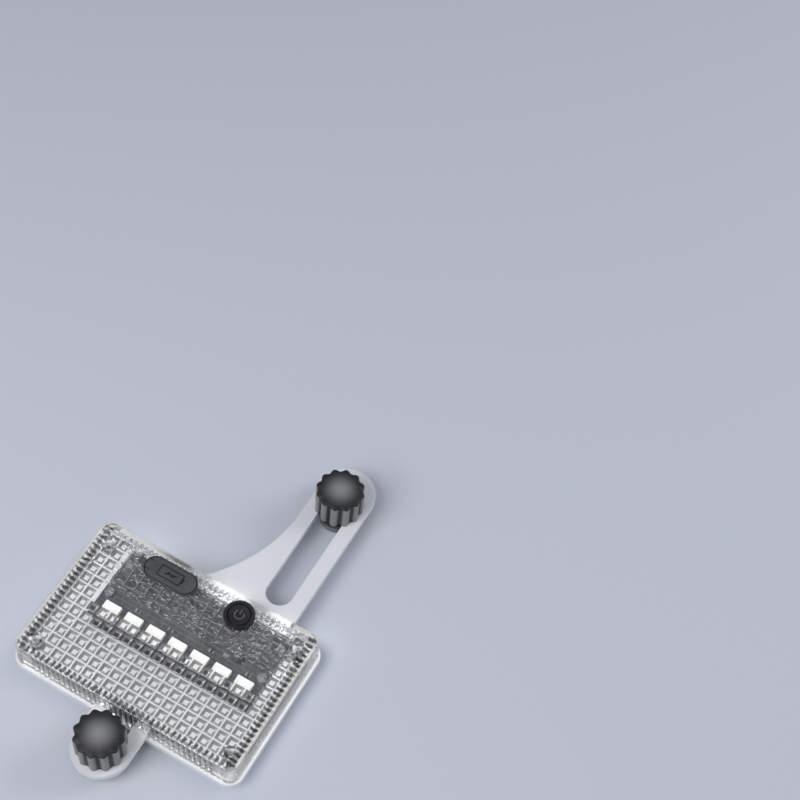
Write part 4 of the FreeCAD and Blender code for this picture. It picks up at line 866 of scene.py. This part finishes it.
# The port cover: a soft dark grey rubber pill with a fine groove round its edge, a neck at
# one end that runs to a bead between two ears, and a plug under it. A small generic charging
# mark, a cell with a bolt in it, stands on the top.
flap_low, flap_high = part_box("port_cover")
FLAP_LENGTH = 16.6 * MM
FLAP_WIDTH = 7.0 * MM
FLAP_THICK = 0.8 * MM
FLAP_PLUG = 0.75 * MM
FLAP_CROWN = 0.06 * MM
GROOVE_DEPTH = 0.2 * MM
FLAP_RINGS = (
    (0.14 * MM, 0), (0.06 * MM, -GROOVE_DEPTH), (0.2 * MM, 0), (0.06 * MM, GROOVE_DEPTH),
    (0.3 * MM, FLAP_CROWN),
)
PLUG_INSET = 1.4 * MM
PLUG_SHORTER = 1.1 * MM
NECK_WIDTH = 2.2 * MM
NECK_THICK = 0.55 * MM
NECK_OVERLAP = 1.2 * MM
NECK_MIDDLE = 0.3 * MM
BEAD_RADIUS = 0.43 * MM
BEAD_LENGTH = 3.4 * MM
flap_top = flap_high[2]
flap_centre = (flap_high[0] - FLAP_LENGTH / 2, (flap_low[1] + flap_high[1]) / 2)
PILL_STEPS = 64

flap_rubber = new_finish(
    "flap_rubber", (0.06, 0.061, 0.063), (0.088, 0.089, 0.092), (0.55, 0.7), grain=4500, depth=0.012,
    patches=250,
)
flap_print_and_groove_shade = new_finish(
    "flap_print_and_groove_shade", (0.012, 0.012, 0.013), (0.022, 0.022, 0.024), (0.3, 0.45), grain=3000, depth=0.005
)


def pull_apart(piece, test, distance):
    """Moves the corners on each side of the middle outwards, along X."""
    for side in (-1, 1):
        pick(piece, "VERT", lambda v: test(v) and v.co.x * side > 1e-6)
        bpy.ops.transform.translate(value=(side * distance, 0, 0))


def lies_in_groove(face):
    """A test for the walls and the floor of the groove round the pill's edge."""
    low = min(corner.co.z for corner in face.verts)
    return abs(low - (FLAP_THICK - GROOVE_DEPTH)) < 0.01 * MM


def make_port_flap():
    """The pill with its edge groove and plug, the neck and the bead."""
    flap = new_drum("port_flap", PILL_STEPS, FLAP_WIDTH / 2, FLAP_THICK)
    flap.data.materials.append(flap_rubber)
    flap.data.materials.append(flap_print_and_groove_shade)
    bpy.ops.mesh.select_all(action="SELECT")
    bpy.ops.transform.rotate(
        value=math.pi / PILL_STEPS, orient_axis="Z", center_override=(0, 0, 0)
    )
    pull_apart(flap, lambda v: True, (FLAP_LENGTH - FLAP_WIDTH) / 2)
    pick(flap, "FACE", faces_up)
    for inset, climb in FLAP_RINGS:
        bpy.ops.mesh.inset(thickness=inset, depth=0)
        bpy.ops.transform.translate(value=(0, 0, climb))
    # Painted shade: the walls and floor of the groove take the black finish, for the dark gap round
    # the pill.
    pick(flap, "FACE", lies_in_groove)
    paint_picked(flap, 1)
    pick(flap, "FACE", lambda face: face.normal.z < -0.9)
    bpy.ops.mesh.inset(thickness=PLUG_INSET, depth=0)
    mesh = bmesh.from_edit_mesh(flap.data)
    ring = {corner.index for corner in mesh.verts if corner.select}
    pull_apart(flap, lambda v: v.index in ring, -PLUG_SHORTER)
    pick(flap, "FACE", lambda face: face.normal.z < -0.9 and len(face.verts) == PILL_STEPS)
    bpy.ops.mesh.extrude_region_move(TRANSFORM_OT_translate={"value": (0, 0, -FLAP_PLUG)})
    bpy.ops.transform.resize(value=(0.97, 0.93, 1))
    settle(flap, (flap_centre[0], flap_centre[1], flap_top - FLAP_THICK))
    bevel_piece(flap, 0.12 * MM)
    neck_start = flap_low[0] + BEAD_RADIUS
    neck_end = flap_high[0] - FLAP_LENGTH + NECK_OVERLAP
    neck = new_block("neck", neck_end - neck_start, NECK_WIDTH, NECK_THICK)
    neck.data.materials.append(flap_rubber)
    bpy.ops.mesh.select_all(action="SELECT")
    bpy.ops.mesh.subdivide(number_cuts=3)
    pick(neck, "VERT", lambda v: abs(v.co.x) < 0.4 * MM)
    bpy.ops.transform.resize(value=(1, 0.72, 0.8))
    settle(
        neck,
        ((neck_start + neck_end) / 2, flap_centre[1], flap_top - FLAP_THICK + NECK_MIDDLE),
    )
    bevel_piece(neck, 0.08 * MM)
    bpy.ops.object.select_all(action="DESELECT")
    bpy.ops.mesh.primitive_cylinder_add(
        vertices=24, radius=BEAD_RADIUS, depth=BEAD_LENGTH, rotation=(math.pi / 2, 0, 0)
    )
    bead = open_piece("bead")
    bead.data.materials.append(flap_rubber)
    pick(bead, "FACE", lambda face: abs(face.normal.y) > 0.9)
    bpy.ops.mesh.inset(thickness=0.12 * MM, depth=0.06 * MM)
    settle(bead, (neck_start, flap_centre[1], flap_top - FLAP_THICK / 2))
    return join_pieces([flap, neck, bead], "port_flap")


def make_outline(name, corners, thick):
    """A flat raised shape with straight sides, from a ring of corners moved to their places."""
    bpy.ops.object.select_all(action="DESELECT")
    bpy.ops.mesh.primitive_circle_add(
        vertices=len(corners), radius=1 * MM, fill_type="NGON", location=(0, 0, 0)
    )
    shape = open_piece(name)
    mesh = bmesh.from_edit_mesh(shape.data)
    mesh.verts.ensure_lookup_table()
    starts = [corner.co.copy() for corner in mesh.verts]
    order = sorted(range(len(starts)), key=lambda i: math.atan2(starts[i].y, starts[i].x))
    for index, (x, y) in zip(order, corners):
        start = starts[index]
        pick(shape, "VERT", lambda v: v.index == index)
        bpy.ops.transform.translate(value=(x * MM - start.x, y * MM - start.y, 0))
    pick(shape, "FACE", lambda face: True)
    bpy.ops.mesh.extrude_region_move(TRANSFORM_OT_translate={"value": (0, 0, thick)})
    bpy.ops.mesh.select_all(action="SELECT")
    bpy.ops.mesh.normals_make_consistent(inside=False)
    return shape


MARK_THICK = 0.08 * MM
MARK_LENGTH = 7.4 * MM
MARK_WIDTH = 3.6 * MM
MARK_LINE = 0.34 * MM
MARK_SUNK = 0.03 * MM
TERMINAL_LENGTH = 0.5 * MM
BOLT_CORNERS = [
    (-2.1, -0.62), (0.2, -0.16), (0.45, -0.75), (2.1, 0.62), (-0.2, 0.16), (-0.45, 0.75),
]
SLIT_LENGTH = 1.7 * MM
SLIT_SPREAD = 1.5 * MM
SLIT_INSET = 1.5 * MM


def make_charge_mark():
    """A cell's outline with a bolt in it, raised from the top of the port cover."""
    cell = new_block("cell_outline", MARK_LENGTH, MARK_WIDTH, MARK_THICK)
    pick(cell, "FACE", lambda face: abs(face.normal.z) > 0.9)
    bpy.ops.mesh.inset(thickness=MARK_LINE, depth=0)
    bpy.ops.mesh.bridge_edge_loops()
    pick(cell, "FACE", lambda face: face.normal.x > 0.9 and face.calc_center_median().x > 0)
    bpy.ops.mesh.extrude_region_move(TRANSFORM_OT_translate={"value": (0, 0, 0)})
    bpy.ops.transform.resize(value=(1, 0.4, 1))
    bpy.ops.mesh.extrude_region_move(TRANSFORM_OT_translate={"value": (TERMINAL_LENGTH, 0, 0)})
    settle(cell, (0, 0, MARK_THICK / 2))
    bolt = make_outline("bolt", BOLT_CORNERS, MARK_THICK)
    settle(bolt, (0, 0, 0))
    slits = []
    for side in (-1, 1):
        slit = new_block("slit", SLIT_LENGTH, MARK_LINE, MARK_THICK)
        pick(slit, "FACE", faces_up)
        bpy.ops.transform.resize(value=(0.9, 0.6, 1))
        start = -FLAP_LENGTH / 2 + SLIT_INSET
        settle(slit, (start, side * SLIT_SPREAD, MARK_THICK / 2))
        slits.append(slit)
    mark = join_pieces([cell, bolt, *slits], "charge_mark")
    mark.data.materials.clear()
    mark.data.materials.append(flap_print_and_groove_shade)
    mark.data.transform(Matrix.Translation((*flap_centre, flap_top + FLAP_CROWN - MARK_SUNK)))
    return mark


port_flap = make_port_flap()
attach(port_flap, "port_flap")
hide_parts("port_cover")
charge_mark = make_charge_mark()
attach(charge_mark, "port_flap")

# The push button: a turned bezel ring in satin black, a dished cap behind it, and a small
# raised on-off mark on the cap.
button_black = new_finish(
    "button_black", (0.012, 0.012, 0.013), (0.026, 0.026, 0.028), (0.22, 0.36), grain=3800,
    depth=0.006,
)
finish_node("button_ring", button_black)
finish_node("button_cap", button_black)
CAP_DISH = 0.25 * MM
SIGN_RADIUS = 1.5 * MM
SIGN_LINE = 0.36 * MM
SIGN_THICK = 0.1 * MM
SIGN_SUNK = 0.02 * MM
SIGN_STEPS = 24
SIGN_GAP_STEPS = 5
cap_low, cap_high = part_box("button_cap")


def make_power_sign():
    """An open ring with an upright bar in its gap, raised from the floor of the cap's dish."""
    arc = new_drum("power_arc", SIGN_STEPS, SIGN_RADIUS, SIGN_THICK)
    pick(arc, "FACE", lambda face: abs(face.normal.z) > 0.9)
    bpy.ops.mesh.inset(thickness=SIGN_LINE, depth=0)
    bpy.ops.mesh.bridge_edge_loops()
    half = SIGN_GAP_STEPS / 2 / SIGN_STEPS * math.tau
    pick(
        arc, "FACE",
        lambda face: abs(math.atan2(face.calc_center_median().x, face.calc_center_median().y)) < half,
    )
    bpy.ops.mesh.delete(type="FACE")
    pick(arc, "EDGE", lambda edge: edge.is_boundary)
    bpy.ops.mesh.edge_face_add()
    settle(arc, (0, 0, 0))
    bar = new_block("power_bar", SIGN_LINE, SIGN_RADIUS, SIGN_THICK)
    pick(bar, "FACE", faces_up)
    bpy.ops.transform.resize(value=(0.8, 0.94, 1))
    settle(bar, (0, SIGN_RADIUS * 0.62, SIGN_THICK / 2))
    sign = join_pieces([arc, bar], "power_sign")
    sign.data.materials.clear()
    sign.data.materials.append(sign_grey)
    middle = ((cap_low[0] + cap_high[0]) / 2, (cap_low[1] + cap_high[1]) / 2)
    sign.data.transform(Matrix.Translation((*middle, cap_high[2] - CAP_DISH - SIGN_SUNK)))
    return sign


sign_grey = new_finish(
    "sign_grey", (0.1, 0.1, 0.102), (0.16, 0.16, 0.162), (0.4, 0.55), grain=3000, depth=0.01
)
power_sign = make_power_sign()
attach(power_sign, "button")

# The bracket plate: one clear sheet with a milky tint, cut to shape with two slots. Its cut edges are
# tinted whiter than its faces, as a painted highlight.
plate_sheet = new_finish(
    "plate_sheet", (0.86, 0.87, 0.9), (0.93, 0.94, 0.96), (0.1, 0.2), grain=700, depth=0.003,
    patches=40,
)
make_clear(plate_sheet, 0.15)
# Painted highlight: the cut edges, which face sideways, are tinted whiter than the faces.
tint_steep_faces(plate_sheet, -1, 0.5, (0.97, 0.97, 0.98))
finish_node("bracket_plate", plate_sheet)

# The thumb knobs: black moulded knobs with twelve lobes, a low domed top with a soft rim and
# a bore below that holds a brass insert. The side is satin and the top finely spark-eroded.
KNOB_LOBES = 12
KNOB_STEPS = 96
LOBE_DEPTH = 0.8 * MM
TOP_ROUND = 1.2 * MM
INSERT_RADIUS = 2.95 * MM
INSERT_DEPTH = 6.4 * MM
CROWN_RISE = 0.03 * MM
FIRST_LOBE = math.pi / KNOB_LOBES
knob_low, knob_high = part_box("arm_knob")
KNOB_RADIUS = (knob_high[1] - knob_low[1]) / 2
KNOB_HEIGHT = knob_high[2] - knob_low[2]
# The rings of the top, from the side inwards: climb, inset and share of the lobes' depth.
TOP_RINGS = (
    (0.22, 0.06, 1.0), (0.22, 0.24, 1.0), (0.1, 0.5, 0.97), (0.14, 1.4, 0.7),
    (0.14, 2.6, 0.3), (0.14, 4.0, 0.05), (0.12, 5.2, 0.0), (0.06, 6.2, 0.0),
)


def make_axis_distance():
    """Shared effect: how far a point lies from an upright axis, in millimetres."""
    effect, given, result = new_effect("axis_distance", {"X": 0.0, "Y": 0.0}, ("Distance",))
    spot = add_node(effect, "TexCoord").outputs["Object"]
    axis = add_node(effect, "CombineXYZ", {"X": given.outputs["X"], "Y": given.outputs["Y"]})
    away = add_node(
        effect, "VectorMath", {0: spot, 1: axis.outputs["Vector"]}, operation="SUBTRACT"
    )
    flat = add_node(
        effect, "VectorMath", {0: away.outputs["Vector"], 1: (1 / MM, 1 / MM, 0)},
        operation="MULTIPLY",
    )
    size = add_node(effect, "VectorMath", {0: flat.outputs["Vector"]}, operation="LENGTH")
    feed(effect, size.outputs["Value"], result.inputs["Distance"])
    return effect


axis_distance = make_axis_distance()


def paint_sheen_round_axis(finish, axis, tint, start, stop, low=-1.0, high=2.0):
    """Paints a lighter tint into a finish round an upright axis, as a painted highlight: none at the
    start distance and all at the stop distance, in millimetres, and only where a face leans within
    two cosines."""
    tree = finish.node_tree
    away = add_node(tree, "Group", zip("XY", axis), node_tree=axis_distance)
    ends = (start, stop, 0, 1) if start < stop else (stop, start, 1, 0)
    values = dict(zip(("From Min", "From Max", "To Min", "To Max"), ends))
    values["Value"] = away.outputs["Distance"]
    spread = add_node(tree, "MapRange", values, interpolation_type="SMOOTHSTEP")
    steep = pick_steep(tree, low, high)
    lay_tint(finish, reckon(tree, "MULTIPLY", spread.outputs["Result"], steep), tint)


def new_knob_finish(name, axis):
    """Black plastic, with painted highlights: lighter grey on the crown of the top and along the
    lobes of the side.
    """
    finish = new_finish(
        name, (0.008, 0.008, 0.009), (0.016, 0.016, 0.017), (0.45, 0.6), grain=2600, depth=0.02,
        patches=260,
    )
    radius = KNOB_RADIUS / MM
    # Painted highlight: lighter grey on the crown of the top, and on the lobe tips of the side.
    paint_sheen_round_axis(finish, axis, (0.24, 0.24, 0.242), radius * 0.85, 0, low=0.8)
    paint_sheen_round_axis(finish, axis, (0.26, 0.26, 0.262), radius - 0.75, radius - 0.25, high=0.5)
    return finish


def lobe_radius(size, depth):
    """The knob's outline at a size, with lobes of a depth: wide tips and narrow valleys."""
    half = KNOB_STEPS / KNOB_LOBES / 2
    return lambda step: size - depth * math.sin(step / half * math.pi / 2) ** 2.2


def make_knob(name, finish):
    """A thumb knob that stands on the ground plane."""
    side_height = KNOB_HEIGHT - TOP_ROUND
    knob = new_drum(name, KNOB_STEPS, KNOB_RADIUS, side_height)
    knob.data.materials.append(finish)
    outline = lobe_radius(KNOB_RADIUS, LOBE_DEPTH)
    shape_ring(knob, lambda v: True, KNOB_STEPS, KNOB_LOBES, outline, FIRST_LOBE)
    height = side_height
    for climb, inset, wave in TOP_RINGS:
        shrunk = lobe_radius(KNOB_RADIUS - inset * MM, LOBE_DEPTH * wave)
        height = grow_cap(
            knob, height, climb * MM, shrunk, KNOB_STEPS, KNOB_LOBES, FIRST_LOBE
        )
    pick(knob, "FACE", lambda face: faces_up(face) and len(face.verts) == KNOB_STEPS)
    bpy.ops.mesh.extrude_region_move(TRANSFORM_OT_translate={"value": (0, 0, CROWN_RISE)})
    bpy.ops.mesh.merge(type="CENTER")
    bore = lobe_radius(INSERT_RADIUS, 0)
    grow_cap(knob, 0, 0, bore, KNOB_STEPS, KNOB_LOBES, FIRST_LOBE, upper=False)
    pick(knob, "FACE", lambda f: f.normal.z < -0.9 and len(f.verts) == KNOB_STEPS)
    bpy.ops.mesh.extrude_region_move(TRANSFORM_OT_translate={"value": (0, 0, INSERT_DEPTH)})
    return knob


for body, node in (("arm_thumb_knob", "arm_knob"), ("tab_thumb_knob", "tab_knob")):
    low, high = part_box(node)
    axis = ((low[0] + high[0]) / 2, (low[1] + high[1]) / 2)
    knob = make_knob(f"{node}_lobed", new_knob_finish(f"{node}_black", axis))
    settle(knob, (*axis, low[2]), angle=40)
    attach(knob, body)
    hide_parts(node)

# Under each knob: a brass insert, a steel stud with two flats and a rolled thread, a black
# shoe that slides in the slot, and a grey clamp head that takes the spoke.


def add_thread(finish, pitch, depth):
    """Rolled thread: even bands across the axis of a stud."""
    tree = finish.node_tree
    spot = add_node(tree, "TexCoord").outputs["Object"]
    values = {"Vector": spot, "Scale": math.tau / (20 * pitch)}
    bands = add_node(
        tree, "TexWave", values, wave_type="BANDS", bands_direction="Z", wave_profile="SIN"
    )
    add_relief(finish, bands.outputs["Fac"], depth)


stud_steel = new_metal("stud_steel", (0.42, 0.43, 0.45), (0.62, 0.63, 0.65), (0.25, 0.4))
add_thread(stud_steel, 0.7 * MM, 0.15 * MM)
insert_brass = new_metal(
    "insert_brass", (0.52, 0.36, 0.13), (0.72, 0.53, 0.24), (0.25, 0.4), lines=1800
)
shoe_black = new_finish(
    "shoe_black", (0.014, 0.014, 0.015), (0.03, 0.03, 0.033), (0.35, 0.5), grain=3000, depth=0.012
)
head_grey = new_finish(
    "head_grey", (0.13, 0.135, 0.14), (0.2, 0.205, 0.21), (0.38, 0.52), grain=2800, depth=0.015,
    patches=300,
)
for end in ("arm", "tab"):
    finish_node(f"{end}_knob_insert", insert_brass)
    finish_node(f"{end}_clamp_stud", stud_steel)
    finish_node(f"{end}_slot_shoe", shoe_black)
    finish_node(f"{end}_clamp_head", head_grey)
